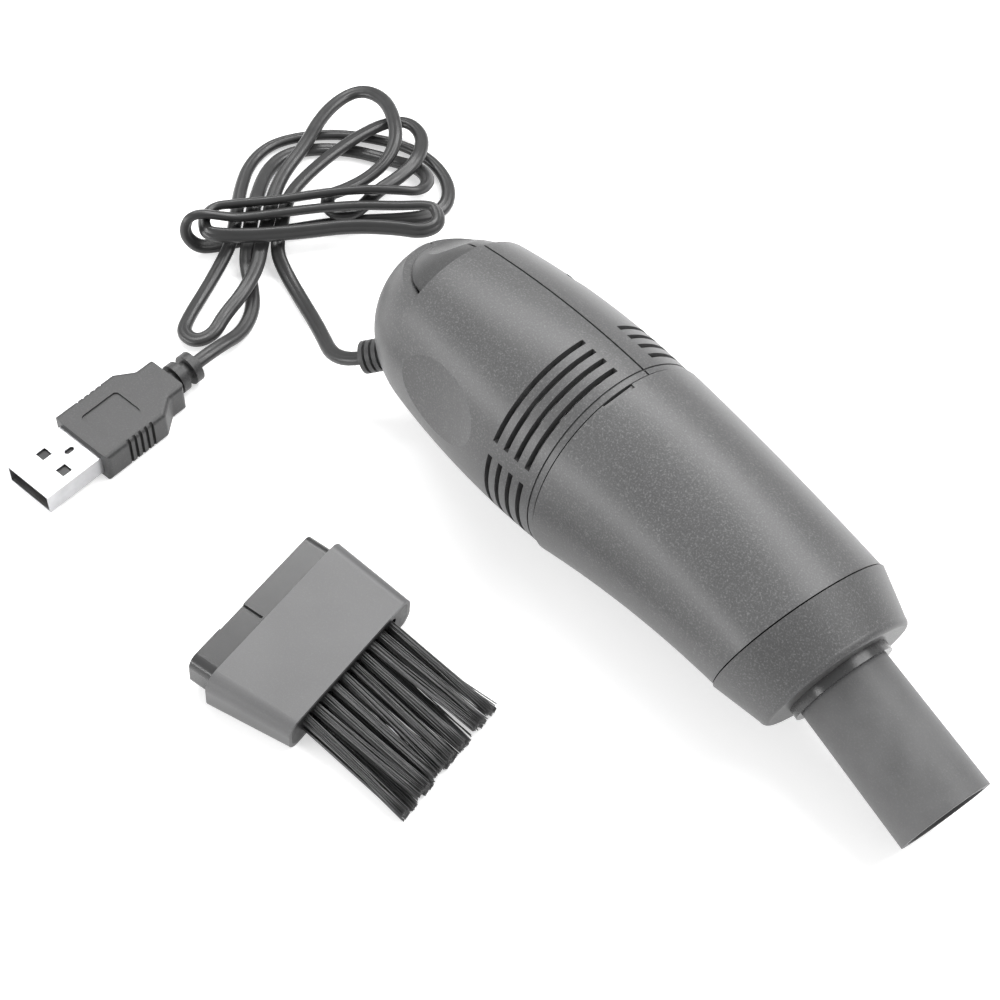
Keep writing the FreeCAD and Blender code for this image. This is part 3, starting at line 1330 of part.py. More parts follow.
ROUTE = [
    # out of the gland to the wraps
    (-89.9, 17.7, 4.4), (-100.8, 21.3, 1.4),
    (-109.8, 23.5, 1.6), (-114.3, 24.7, 4), (-119.9, 30.5, 4.4),
    # first loop
    (-125.5, 36.4, 4.4), (-128, 43.2, 4.5), (-130, 52.3, 4.5), (-130.8, 61.1, 4.5),
    (-130.3, 68.2, 4.3), (-127.1, 72.1, 4.3), (-120.7, 70.9, 4.7), (-115.3, 64.8, 5.5),
    # hidden turn back under the wraps
    (-114, 58.7, 5), (-114.3, 52.1, 4.3), (-112.3, 46.6, 4.3), (-112.9, 42.1, 4.3),
    (-117, 40.6, 4.3), (-120.3, 43.4, 4.3), (-119.1, 47.2, 4.4),
    # tall loop
    (-118.6, 53.3, 4.6), (-118.9, 59.2, 6.2), (-122, 64.3, 7.6), (-128.6, 68.4, 7.8),
    (-136, 71.1, 6.2), (-142.1, 70, 4.8), (-143.9, 65.3, 3.8), (-141.4, 57.6, 4.2),
    (-135.4, 48.3, 4.8), (-132.1, 40.2, 4.5), (-127.6, 33.8, 4.4),
    # down through the wraps to the fold by the plug, and back
    (-122.4, 28.6, 4.4), (-116.9, 22.7, 4.5), (-112.5, 18.6, 4.5), (-108.2, 11.8, 4.6),
    (-106.3, 5.1, 3.4), (-104.1, 0.7, 2.5), (-105.3, -3.1, 1.9), (-109.5, -3.5, 1.5),
    (-112.4, 0.1, 1.4), (-116.7, 7.7, 1.3), (-120, 14.4, 2.6), (-122.4, 19, 4.4),
    (-128.7, 24.8, 4.4),
    # outer strand over the top
    (-135.4, 30.4, 2.6), (-141.5, 36.9, 1.4), (-144, 43.8, 1.3), (-142.7, 50.1, 1.3),
    (-138.2, 57.6, 1.3), (-132.2, 63.2, 1.3), (-125, 67.9, 1.3), (-117.4, 69.9, 1.3),
    (-109.3, 68.5, 1.3), (-103.8, 64.2, 1.3),
    # under the wraps to the left end
    (-102.9, 58.9, 1.3), (-106.5, 52.6, 1.3), (-113.1, 43.7, 1.3), (-118.3, 34, 1.3),
    (-123.1, 23.9, 1.3), (-126.3, 15.6, 1.4), (-129.1, 10.9, 2.6),
    # up and over the left end
    (-131.3, 8.6, 6), (-131.5, 10.3, 9.6), (-129.4, 13.6, 10.6), (-126.8, 17.9, 9), (-124, 22.5, 7.6),
    (-119.9, 30.2, 7.4),
    # front band to the right end
    (-115.6, 37.8, 7.4), (-110.8, 45, 7.4), (-105, 51.5, 7.4), (-101.4, 56.4, 7.4),
    (-98.1, 58.7, 7.2), (-93.8, 56.3, 7.1), (-94.5, 51.9, 7),
    # lower band to the left end
    (-100.5, 46.8, 7.2), (-107.2, 39.5, 7.3), (-112.5, 30, 7.4), (-118.2, 21, 7.6),
    (-123.8, 15, 7.4), (-127.6, 13, 7.3), (-131.6, 14.8, 7.3),
    # upper band to the right end
    (-132.5, 18.6, 7.5), (-128.6, 23.8, 7.5), (-123.1, 32.6, 7.4), (-118.7, 41.3, 7.4),
    (-114.1, 48.7, 7.4), (-109.1, 54.3, 7.4), (-106.2, 58.1, 6.6),
    # inner strand over the top
    (-109.5, 63.5, 4.2), (-116.1, 65.7, 2), (-122.8, 62.7, 1.3), (-131.2, 57.8, 1.3),
    (-136.9, 51.4, 1.3), (-139.4, 45.4, 1.3), (-136.7, 38.4, 2.2), (-129.9, 31.1, 4.4),
    (-124.7, 25.7, 4.4),
    # down to the plug
    (-119.5, 21.1, 4.4), (-116.8, 18.3, 1.9), (-110.5, 15.3, 1.3), (-105, 11.5, 1.3),
    (-101.1, 5.6, 1.8),
]


def lead_points():
    """Corner points of the lead, from the end of the gland to the end of the plug's tail."""
    seat, direction = gland_seat()
    start = LAY.multVec(seat + direction * v.gland_length)
    out = LAY.Rotation.multVec(direction)
    start_of_tail = -v.mould_length - v.mould_taper - v.mould_step_length - v.relief_length
    end = plug_place().multVec(Vector(start_of_tail, 0, 0))
    before = plug_place().multVec(Vector(start_of_tail - v.cord_straight, 0, 0))
    return [start, start + out * v.cord_straight] + [Vector(*p) for p in ROUTE] + [before, end]


def rounded_path(points):
    """Straight runs joined by tangent arcs, and the radius of each arc."""
    edges = []
    radii = []
    last = points[0]
    for before, corner, after in zip(points, points[1:], points[2:]):
        back = (before - corner)
        on = (after - corner)
        trim = v.arc_share * min(back.Length, on.Length)
        back.normalize()
        on.normalize()
        half_angle = back.getAngle(on) / 2
        radius = trim * math.tan(half_angle)
        start, end = corner + back * trim, corner + on * trim
        inward = (back + on).normalize()
        middle = corner + inward * (radius / math.sin(half_angle) - radius)
        edges.append(Part.LineSegment(last, start).toShape())
        edges.append(Part.Arc(start, middle, end).toShape())
        radii.append(radius)
        last = end
    edges.append(Part.LineSegment(last, points[-1]).toShape())
    return edges, radii


def least_self_gap(wire):
    """Least free space between stretches of the cord that lie apart along its length."""
    points = wire.discretize(Distance=v.gap_step)
    apart = int(v.gap_reach / v.gap_step)
    nearest = min((a - b).Length for i, a in enumerate(points) for b in points[i + apart:])
    return nearest - v.cord_diameter


def cord_tube(name, edges):
    """A round tube along the given edges, as one sub-part."""
    wire = Part.Wire(edges)
    first = wire.Edges[0]
    ring = Part.Circle(first.valueAt(first.FirstParameter), first.tangentAt(first.FirstParameter),
                       v.cord_diameter / 2).toShape()
    pipe = Part.BRepOffsetAPI.MakePipeShell(wire)
    pipe.add(Part.Wire(ring))
    pipe.build()
    pipe.makeSolid()
    made = doc.addObject("Part::Feature", name)
    made.Shape = pipe.shape()
    section = math.pi * (v.cord_diameter / 2) ** 2
    print("%s: length %.1f, volume as a share of section times length %.3f"
          % (name, wire.Length, made.Shape.Volume / (section * wire.Length)))
    return keep(name, made)


def lead_cord():
    """The lead in two tubes that meet face to face: the way to the hank, and the hank itself."""
    edges, radii = rounded_path(lead_points())
    print("lead: arc radii " + " ".join("%.1f" % radius for radius in radii))
    print("lead: least gap to itself %.2f" % least_self_gap(Part.Wire(edges)))
    run = edges[2 * int(v.hank_start_run)]
    first, last = run.valueAt(run.FirstParameter), run.valueAt(run.LastParameter)
    middle = (first + last) / 2
    cord_tube("cord_lead", edges[:2 * int(v.hank_start_run)]
              + [Part.LineSegment(first, middle).toShape()])
    cord_tube("cord_hank", [Part.LineSegment(middle, last).toShape()]
              + edges[2 * int(v.hank_start_run) + 1:])


# Brush head: X toward the bristles, origin on the shoulder's rear face

def brush_place():
    droop = math.atan2((v.shoulder_rear_height - v.shoulder_front_height) / 2, v.shoulder_length)
    height = v.shoulder_rear_height / 2 * math.cos(droop)
    turn = Rotation(Z_AXIS, v.brush_turn) * Rotation(Y_AXIS, math.degrees(droop))
    return Placement(Vector(v.brush_place_x, v.brush_place_y, height), turn)


def brush_shoulder():
    """Tapered hollow shoulder of the brush with the spigot that fits the cup."""
    name = "brush_shoulder"
    body = new_body(name)
    loft(body, "AdditiveLoft", name + "_outer", [
        new_sketch(body, "YZ_Plane", name + "_rear",
                   rounded_rectangle(v.shoulder_rear_width, v.shoulder_rear_height,
                                     v.shoulder_rear_corner), across()),
        new_sketch(body, "YZ_Plane", name + "_front",
                   rounded_rectangle(v.shoulder_front_width, v.shoulder_front_height,
                                     v.shoulder_front_corner), across(v.shoulder_length)),
    ])
    spigot = new_sketch(body, "YZ_Plane", name + "_spigot", spigot_outline(),
                        across(-v.spigot_length))
    feature(body, "Pad", name + "_spigot_pad", spigot, Length=v.spigot_length + v.overrun)
    way = new_sketch(body, "YZ_Plane", name + "_way", spigot_outline(v.spigot_wall),
                     across(-v.spigot_length - v.overrun))
    feature(body, "Pocket", name + "_way_cut", way, Length=v.spigot_length + v.brush_way_depth
            + v.overrun, Reversed=True)
    seat = new_sketch(body, "YZ_Plane", name + "_seat", block_outline(),
                      across(v.shoulder_length - v.block_length))
    feature(body, "Pocket", name + "_seat_cut", seat, Length=v.block_length + v.overrun,
            Reversed=True)
    slot = new_sketch(body, "XY_Plane", name + "_recess",
                      rectangle(-v.spigot_length - v.overrun,
                                -v.spigot_recess_offset - v.spigot_recess_width / 2,
                                -v.spigot_recess_rim,
                                -v.spigot_recess_offset + v.spigot_recess_width / 2),
                      Placement(Vector(0, 0, v.spigot_height / 2 - v.spigot_recess_depth),
                                Rotation()))
    feature(body, "Pocket", name + "_recess_cut", slot, Length=2 * v.overrun, Reversed=True)
    return keep(name, body, brush_place())


def block_outline():
    return rounded_rectangle(v.shoulder_front_width - 2 * v.block_inset,
                             v.shoulder_front_height - 2 * v.block_inset,
                             v.shoulder_front_corner - v.block_inset)


def brush_block():
    """Block that holds the tufts in the front of the shoulder."""
    name = "brush_block"
    body = new_body(name)
    block = new_sketch(body, "YZ_Plane", name + "_outline", block_outline(),
                       across(v.shoulder_length - v.block_length))
    feature(body, "Pad", name + "_pad", block, Length=v.block_length)
    holes = []
    for y, z in tuft_places():
        holes += circle(y, z, v.tuft_radius)
    seats = new_sketch(body, "YZ_Plane", name + "_seats", holes,
                       across(v.shoulder_length - v.tuft_sunk))
    feature(body, "Pocket", name + "_seat_cut", seats, Length=v.tuft_sunk + v.overrun, Reversed=True)
    return keep(name, body, brush_place())


def tuft_places():
    """Y and Z of every tuft in the block."""
    places = []
    count = int(v.tuft_count)
    half = v.shoulder_front_width / 2 - v.block_inset - v.tuft_end_margin
    for row in range(int(v.tuft_rows)):
        z = (row - (v.tuft_rows - 1) / 2) * v.tuft_row_spacing
        for number in range(count):
            places.append((-half + 2 * half * number / (count - 1), z))
    return places


def brush_tufts():
    """Bundles of bristles as separate tapered solids."""
    tufts = []
    for number, (y, z) in enumerate(tuft_places(), start=1):
        tufts.append(cone("tuft%d" % number, v.tuft_radius, v.tuft_tip_radius,
                          v.tuft_sunk + v.tuft_length,
                          along_x(v.shoulder_length - v.tuft_sunk, y, z),
                          Radius1="$tuft_radius", Radius2="$tuft_tip_radius",
                          Height="$tuft_sunk + $tuft_length"))
    made = doc.addObject("Part::Compound", "brush_tufts")
    made.Links = tufts
    return keep("brush_tufts", made, brush_place())


def main():
    for side in (1, -1):
        housing(side)
    housing_screws()
    rocker_cap()
    rocker_pin()
    switch_unit()
    motor_can()
    motor_end_cap()
    motor_mount_plate()
    motor_shaft()
    impeller()
    inlet_plate()
    filter_frame()
    filter_cloth()
    seal_ring()
    dust_cup()
    nose_cap()
    nozzle_collar()
    nozzle_tube()
    strain_relief()
    usb_shell()
    usb_tongue()
    usb_contacts()
    plug_grip()
    plug_relief()
    lead_cord()
    brush_shoulder()
    brush_block()
    brush_tufts()


def check(name, obj):
    """Stops the build if a sub-part is broken."""
    shape = obj.Shape
    if shape.isNull() or not shape.isValid() or not shape.Solids:
        sys.exit("%s has no valid solid" % name)


main()
doc.recompute()
for item in doc.Objects:
    if "Invalid" in item.State or "Error" in item.State:
        sys.exit("%s failed: %s" % (item.Label, item.State))
os.makedirs("parts", exist_ok=True)
for node, item in SUBPARTS.items():
    check(node, item)
    item.Shape.exportStep(os.path.join("parts", node + ".step"))
    print("%s: %d solid(s), %.0f cubic millimetres" % (node, len(item.Shape.Solids), item.Shape.Volume))
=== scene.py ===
import math
import random

import bpy
from mathutils import Matrix, Quaternion, Vector


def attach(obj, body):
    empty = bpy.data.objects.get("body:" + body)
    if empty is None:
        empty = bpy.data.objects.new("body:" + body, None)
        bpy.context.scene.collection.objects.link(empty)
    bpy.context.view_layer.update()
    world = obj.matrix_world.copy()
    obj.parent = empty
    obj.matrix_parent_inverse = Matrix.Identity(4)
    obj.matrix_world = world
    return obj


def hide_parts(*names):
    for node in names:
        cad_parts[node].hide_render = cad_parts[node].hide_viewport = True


# Looks of the desktop mini vacuum cleaner, its lead in a hank and its brush head.
# Metres throughout, in the row's frame: X along the vacuum toward the nozzle, Z up from the desk.

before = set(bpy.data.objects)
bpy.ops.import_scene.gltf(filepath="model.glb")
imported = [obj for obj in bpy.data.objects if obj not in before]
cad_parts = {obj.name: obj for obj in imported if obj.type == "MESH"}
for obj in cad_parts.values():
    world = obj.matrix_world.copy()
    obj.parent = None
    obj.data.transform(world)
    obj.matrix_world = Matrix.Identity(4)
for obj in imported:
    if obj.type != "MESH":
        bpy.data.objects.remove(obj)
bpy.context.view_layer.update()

MM = 0.001

# The vacuum's own frame: its origin in the ring seam, leaning to +Y, as in the part's source

SEAM_PLACE = Vector((-15.38, 31.58, 21.755)) * MM
LEAN = math.radians(16.0)
TO_ROW = Matrix.Translation(SEAM_PLACE) @ Matrix.Rotation(-LEAN, 4, "X")

# The brush head's own frame: X toward the bristles, its origin on the shoulder's rear face

BRUSH_PLACE = Vector((-35.9, -33.9, 0)) * MM
BRUSH_TURN = math.radians(14.5)
SHOULDER_LENGTH = 17.9 * MM
SHOULDER_REAR = 10.0 * MM
SHOULDER_FRONT = 7.6 * MM


def brush_matrix():
    """The shoulder gets thinner toward its front and lies flat, so its axis droops a little."""
    droop = math.atan2((SHOULDER_REAR - SHOULDER_FRONT) / 2, SHOULDER_LENGTH)
    height = Vector((0, 0, SHOULDER_REAR / 2 * math.cos(droop)))
    turn = Matrix.Rotation(BRUSH_TURN, 4, "Z") @ Matrix.Rotation(droop, 4, "Y")
    return Matrix.Translation(BRUSH_PLACE + height) @ turn


# Objects

def add_object(name, data):
    made = bpy.data.objects.new(name, data)
    bpy.context.scene.collection.objects.link(made)
    return made


def mesh_object(name, vertices, faces, smooth=True):
    mesh = bpy.data.meshes.new(name)
    mesh.from_pydata([tuple(v) for v in vertices], [], faces)
    mesh.validate()
    mesh.update()
    mesh.polygons.foreach_set("use_smooth", [smooth] * len(mesh.polygons))
    return add_object(name, mesh)


def finish_piece(piece, body, material):
    """Gives a piece its material and its body."""
    piece.data.materials.clear()
    piece.data.materials.append(material)
    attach(piece, body)


def dress(material, *nodes):
    """Puts a material on CAD nodes."""
    for name in nodes:
        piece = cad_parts[name]
        if not piece.material_slots:
            piece.data.materials.append(material)
        for place in piece.material_slots:
            place.material = material


# Shader nodes

# Noise keeps mostly between these two values
NOISE_LOW = 0.3
NOISE_HIGH = 0.7

# Places of the factor and of the colour sockets on a Mix node
MIX_FACTOR = 0
MIX_A = 6
MIX_B = 7
MIX_RESULT = 2


def feed(tree, value, socket):
    """Links a socket to another node's output, or gives it a plain value."""
    if isinstance(value, bpy.types.NodeSocket):
        tree.links.new(value, socket)
    else:
        socket.default_value = value


def math_node(tree, operation, a, b):
    made = tree.nodes.new("ShaderNodeMath")
    made.operation = operation
    feed(tree, a, made.inputs[0])
    feed(tree, b, made.inputs[1])
    return made.outputs["Value"]


def grey(level):
    """A grey with a trace of blue."""
    return (level, level, level * 1.01, 1.0)


class Shader:
    """A material with one Principled shader and short calls for its nodes."""

    def __init__(self, name, **sockets):
        self.material = bpy.data.materials.new(name)
        self.material.use_nodes = True
        self.tree = self.material.node_tree
        self.bsdf = self.tree.nodes["Principled BSDF"]
        self.place = self.node("ShaderNodeTexCoord").outputs["Object"]
        for socket, value in sockets.items():
            self.bsdf.inputs[socket.replace("_", " ")].default_value = value

    def node(self, kind, **props):
        made = self.tree.nodes.new(kind)
        for prop, value in props.items():
            setattr(made, prop, value)
        return made

    def link(self, output, target, socket):
        self.tree.links.new(output, target.inputs[socket])

    def noise(self, size, detail=2.0, rough=0.5, place=None):
        """Noise whose lumps are about size metres across."""
        made = self.node("ShaderNodeTexNoise")
        made.inputs["Scale"].default_value = 1 / size
        made.inputs["Detail"].default_value = detail
        made.inputs["Roughness"].default_value = rough
        self.link(place or self.place, made, "Vector")
        return made.outputs["Fac"]

    def stretched(self, factors):
        """The texture place with its axes scaled."""
        made = self.node("ShaderNodeMapping")
        made.inputs["Scale"].default_value = factors
        self.link(self.place, made, "Vector")
        return made.outputs["Vector"]

    def ramp(self, value, first, last, start=NOISE_LOW, end=NOISE_HIGH):
        """Colour that goes from first at start to last at end."""
        made = self.node("ShaderNodeValToRGB")
        for stop, where, colour in zip(made.color_ramp.elements, (start, end), (first, last)):
            stop.position = where
            stop.color = colour
        self.link(value, made, "Fac")
        return made.outputs["Color"]

    def span(self, value, low, high, start=0.0, end=1.0):
        """Number that goes from low at start to high at end, held past both."""
        made = self.node("ShaderNodeMapRange")
        made.inputs["From Min"].default_value = start
        made.inputs["From Max"].default_value = end
        made.inputs["To Min"].default_value = low
        made.inputs["To Max"].default_value = high
        self.link(value, made, "Value")
        return made.outputs["Result"]

    def mix(self, share, a, b):
        """Colour between a and b."""
        made = self.node("ShaderNodeMix", data_type="RGBA")
        for number, value in ((MIX_FACTOR, share), (MIX_A, a), (MIX_B, b)):
            feed(self.tree, value, made.inputs[number])
        return made.outputs[MIX_RESULT]

    def beyond(self, piece, point, direction):
        """1 where a CAD piece lies past a plane of the row's frame, else 0."""
        inverse = piece.matrix_world.inverted()
        normal = (inverse.to_3x3() @ direction).normalized()
        along = self.node("ShaderNodeVectorMath", operation="DOT_PRODUCT")
        along.inputs[1].default_value = normal
        self.link(self.place, along, 0)
        return math_node(self.tree, "GREATER_THAN", along.outputs["Value"], normal.dot(inverse @ point))

    def colour(self, output):
        self.link(output, self.bsdf, "Base Color")

    def rough(self, value, low, high, start=NOISE_LOW, end=NOISE_HIGH):
        """Roughness that goes from low at start to high at end."""
        self.link(self.span(value, low, high, start, end), self.bsdf, "Roughness")

    def bump(self, height, depth):
        """Bump from a 0 to 1 height that stands for depth metres."""
        made = self.node("ShaderNodeBump")
        made.inputs["Distance"].default_value = depth
        self.link(height, made, "Height")
        self.link(made.outputs["Normal"], self.bsdf, "Normal")


# Materials: their tones are shares of one level, and their patterns have sizes in millimetres

def spark_plastic(name, level, grain=0.34 * MM, roughness=0.38, depth=0.024 * MM):
    """Moulded plastic with a spark-eroded texture: pale specks, dark pits and a soft sheen."""
    shader = Shader(name, Specular_IOR_Level=0.42)
    speck = grey(level * 2.4)
    pit = grey(level * 0.65)
    fine = shader.noise(grain, detail=3.0, rough=0.65)
    broad = shader.noise(18 * MM)
    base = shader.ramp(broad, grey(level * 0.94), grey(level * 1.05))
    speckled = shader.mix(shader.span(fine, 0.0, 0.7, start=0.52, end=0.72), base, speck)
    shader.colour(shader.mix(shader.span(fine, 0.35, 0.0, start=0.28, end=0.46), speckled, pit))
    shader.rough(fine, roughness - 0.07, roughness + 0.1)
    shader.bump(fine, depth)
    return shader.material


def brush_plastic(name, level, spigot_level):
    """Finely textured shoulder with a darker, glossier spigot behind it."""
    shader = Shader(name, Specular_IOR_Level=0.45)
    speck = grey(level * 1.5)
    place = brush_matrix()
    backward = place.to_3x3() @ Vector((-1, 0, 0))
    spigot = shader.beyond(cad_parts["brush_shoulder"], place.translation, backward)
    fine = shader.noise(0.26 * MM, detail=3.0, rough=0.65)
    broad = shader.noise(14 * MM)
    base = shader.ramp(broad, grey(level * 0.93), grey(level * 1.06))
    speckled = shader.mix(shader.span(fine, 0.0, 0.3, start=0.50, end=0.72), base, speck)
    shader.colour(shader.mix(spigot, speckled, grey(spigot_level)))
    shader.rough(spigot, 0.42, 0.26, start=0.0, end=1.0)
    shader.bump(fine, 0.012 * MM)
    return shader.material


def smooth_plastic(name, level, roughness=0.38):
    """Plain moulded plastic with faint flow marks."""
    shader = Shader(name, Specular_IOR_Level=0.45)
    flow = shader.noise(1.2 * MM, detail=4.0, rough=0.6)
    broad = shader.noise(11 * MM)
    shader.colour(shader.ramp(broad, grey(level * 0.9), grey(level * 1.1)))
    shader.rough(flow, roughness - 0.06, roughness + 0.08)
    shader.bump(flow, 0.012 * MM)
    return shader.material


def soft_rubber(name, level, roughness=0.55):
    """Matt rubber with a dusty bloom and fine pores."""
    shader = Shader(name, Specular_IOR_Level=0.35, Sheen_Weight=0.15, Sheen_Roughness=0.5)
    dusty = grey(level * 1.6)
    pores = shader.noise(0.35 * MM, detail=3.0, rough=0.7)
    bloom = shader.noise(7 * MM, detail=3.0)
    base = shader.ramp(bloom, grey(level * 0.88), grey(level * 1.14), end=0.72)
    shader.colour(shader.mix(shader.span(pores, 0.0, 0.4, start=0.52, end=0.74), base, dusty))
    shader.rough(bloom, roughness - 0.06, roughness + 0.08)
    shader.bump(pores, 0.03 * MM)
    return shader.material


def brushed_metal(name, colour, roughness=0.32):
    """Metal with fine drawn lines along X and a slight stain."""
    shader = Shader(name, Metallic=1.0)
    darker = tuple(c * 0.8 for c in colour[:3]) + (1.0,)
    along_x = shader.stretched((1.0, 30.0, 30.0))
    lines = shader.noise(3 * MM, detail=4.0, rough=0.7, place=along_x)
    stain = shader.noise(5 * MM, detail=3.0)
    shader.colour(shader.mix(shader.span(stain, 0.0, 1.0, start=0.35, end=0.7), colour, darker))
    shader.rough(lines, roughness - 0.08, roughness + 0.12)
    shader.bump(lines, 0.008 * MM)
    return shader.material


def cord_sheath(name, level):
    """Half-gloss PVC with slight ripples."""
    shader = Shader(name, Specular_IOR_Level=0.5)
    ripple = shader.noise(2.4 * MM)
    broad = shader.noise(22 * MM)
    shader.colour(shader.ramp(broad, grey(level * 0.85), grey(level * 1.15)))
    shader.rough(ripple, 0.3, 0.42)
    shader.bump(ripple, 0.02 * MM)
    return shader.material


def filter_felt(name):
    """Pale non-woven cloth with tangled fibres and a little dust."""
    shader = Shader(name, Roughness=0.95, Specular_IOR_Level=0.1, Sheen_Weight=0.3)
    hollow = (0.55, 0.55, 0.53, 1.0)
    fibre = (0.86, 0.86, 0.83, 1.0)
    dust = (0.42, 0.41, 0.39, 1.0)
    fibres = shader.noise(0.5 * MM, detail=6.0, rough=0.8)
    patches = shader.noise(6 * MM, detail=3.0)
    base = shader.ramp(fibres, hollow, fibre)
    shader.colour(shader.mix(shader.span(patches, 0.0, 0.35, start=0.5, end=0.75), base, dust))
    shader.bump(fibres, 0.12 * MM)
    return shader.material


def bristle_nylon(name, level):
    """Dark nylon, each bristle a little lighter or darker than its neighbours."""
    shader = Shader(name, Specular_IOR_Level=0.6)
    island = shader.node("ShaderNodeNewGeometry").outputs["Random Per Island"]
    streak = shader.noise(1.5 * MM)
    shade = shader.mix(island, grey(level * 0.35), grey(level * 1.9))
    streaks = shader.span(streak, 0.0, 0.3, start=0.4, end=0.7)
    shader.colour(shader.mix(streaks, shade, grey(level * 0.6)))
    shader.rough(island, 0.28, 0.45, start=0.0, end=1.0)
    return shader.material


dress(spark_plastic("shell_plastic", 0.08), "housing_left", "housing_right")
dress(spark_plastic("cup_plastic", 0.085), "dust_cup")
dress(spark_plastic("nose_plastic", 0.08), "nose_cap")
# The rocker cap is the shell's plastic with a finer grain, at a lower level: the lower level is painted
# shade of its sunken place in the housing.
dress(spark_plastic("rocker_plastic_painted_shade", 0.045, grain=0.26 * MM), "rocker_cap")
dress(brush_plastic("brush_plastic", 0.125, 0.04), "brush_shoulder")
dress(soft_rubber("nozzle_rubber", 0.105), "nozzle_tube")
dress(smooth_plastic("collar_plastic", 0.055, roughness=0.24), "nozzle_collar")
dress(soft_rubber("relief_rubber", 0.06, roughness=0.45), "strain_relief")
dress(soft_rubber("seal_rubber", 0.03), "seal_ring")
dress(spark_plastic("plug_plastic", 0.042, grain=0.35 * MM, roughness=0.4, depth=0.02 * MM),
      "plug_grip", "plug_relief")
# The inner parts are their own dark plastic, darkened further to near black: painted shade seen through
# the housing's slots and between the tuft roots.
dress(smooth_plastic("inner_plastic_and_painted_shade", 0.02),
      "motor_end_cap", "motor_mount_plate", "inlet_plate", "filter_frame", "brush_block")
dress(smooth_plastic("switch_plastic", 0.03, roughness=0.3), "switch_body")
dress(smooth_plastic("fan_nylon", 0.62, roughness=0.35), "impeller")
dress(smooth_plastic("tongue_plastic", 0.02, roughness=0.4), "usb_tongue")
dress(brushed_metal("zinc_steel", (0.62, 0.62, 0.63, 1.0)), "housing_screws", "rocker_pin", "motor_shaft")
dress(brushed_metal("drawn_can", (0.55, 0.55, 0.56, 1.0), roughness=0.4), "motor_can")
dress(brushed_metal("nickel_sheet", (0.5, 0.5, 0.51, 1.0), roughness=0.36), "usb_shell")
dress(brushed_metal("gold_strip", (0.83, 0.62, 0.27, 1.0), roughness=0.25), "usb_contacts")


# Lead: the part's route in millimetres, with the ends of the wraps drawn in

LEAD_START = [(-72.4, 15.8, 11.9), (-76.5, 12.0, 9.5)]
LEAD_END = [(-99.9, -1.2, 3.55), (-99.1, -7.2, 3.55)]
ROUTE = [
    # out of the gland to the wraps
    (-89.9, 17.7, 4.4), (-100.8, 21.3, 1.4),
    (-109.8, 23.5, 1.6), (-114.3, 24.7, 4), (-119.9, 30.5, 4.4),
    # first loop
    (-125.5, 36.4, 4.4), (-128, 43.2, 4.5), (-130, 52.3, 4.5), (-130.8, 61.1, 4.5),
    (-130.3, 68.2, 4.3), (-127.1, 72.1, 4.3), (-120.7, 70.9, 4.7), (-115.3, 64.8, 5.5),
    # hidden turn back under the wraps
    (-114, 58.7, 5), (-114.3, 52.1, 4.3), (-112.3, 46.6, 4.3), (-112.9, 42.1, 4.3),
    (-117, 40.6, 4.3), (-120.3, 43.4, 4.3), (-119.1, 47.2, 4.4),
    # tall loop
    (-118.6, 53.3, 4.6), (-118.9, 59.2, 6.2), (-122, 64.3, 7.6), (-128.6, 68.4, 7.8),
    (-136, 71.1, 6.2), (-142.1, 70, 4.8), (-143.9, 65.3, 3.8), (-141.4, 57.6, 4.2),
    (-135.4, 48.3, 4.8), (-132.1, 40.2, 4.5), (-127.6, 33.8, 4.4),
    # down through the wraps to the fold by the plug, and back
    (-122.4, 28.6, 4.4), (-116.9, 22.7, 4.5), (-112.5, 18.6, 4.5), (-108.2, 11.8, 4.6),
    (-106.3, 5.1, 3.4), (-104.1, 0.7, 2.5), (-105.3, -3.1, 1.9), (-109.5, -3.5, 1.5),
    (-112.4, 0.1, 1.4), (-116.7, 7.7, 1.3), (-120, 14.4, 2.6), (-122.4, 19, 4.4),
    (-128.7, 24.8, 4.4),
    # outer strand over the top
    (-135.4, 30.4, 2.6), (-141.5, 36.9, 1.4), (-144, 43.8, 1.3), (-142.7, 50.1, 1.3),
    (-138.2, 57.6, 1.3), (-132.2, 63.2, 1.3), (-125, 67.9, 1.3), (-117.4, 69.9, 1.3),
    (-109.3, 68.5, 1.3), (-103.8, 64.2, 1.3),
    # under the wraps to the left end
    (-102.9, 58.9, 1.3), (-106.5, 52.6, 1.3), (-113.1, 43.7, 1.3), (-118.3, 34, 1.3),
    (-123.1, 23.9, 1.3), (-126.3, 15.6, 1.4), (-127.6, 12.9, 2.6),
    # up and over the left end
    (-129.2, 11.4, 6), (-129.4, 12.9, 9.6), (-127.8, 15.4, 10.6), (-126, 18.9, 9), (-124, 22.5, 7.6),
    (-119.9, 30.2, 7.4),
    # front band to the right end
    (-115.6, 37.8, 7.4), (-110.8, 45, 7.4), (-105, 51.5, 7.4), (-101.4, 56.4, 7.4),
    (-99.3, 57.2, 7.2), (-95.4, 54.8, 7.1), (-96, 50.5, 7),
    # lower band to the left end
    (-100.5, 46.8, 7.2), (-107.2, 39.5, 7.3), (-112.5, 30, 7.4), (-118.2, 21, 7.6),
    (-123.8, 15, 7.4), (-126.2, 14.8, 7.3), (-129.6, 17, 7.3),
    # upper band to the right end
    (-130.6, 20.4, 7.5), (-128.6, 23.8, 7.5), (-123.1, 32.6, 7.4), (-118.7, 41.3, 7.4),
    (-114.1, 48.7, 7.4), (-109.1, 54.3, 7.4), (-106.2, 58.1, 6.6),
    # inner strand over the top
    (-109.5, 63.5, 4.2), (-116.1, 65.7, 2), (-122.8, 62.7, 1.3), (-131.2, 57.8, 1.3),
    (-136.9, 51.4, 1.3), (-139.4, 45.4, 1.3), (-136.7, 38.4, 2.2), (-129.9, 31.1, 4.4),
    (-124.7, 25.7, 4.4),
    # down to the plug
    (-119.5, 21.1, 4.4), (-116.8, 18.3, 1.9), (-110.5, 15.3, 1.3), (-105, 11.5, 1.3),
    (-101.1, 5.6, 1.8),
]
LEAD_WIDTH = 3.2 * MM
LEAD_THICKNESS = 2.0 * MM
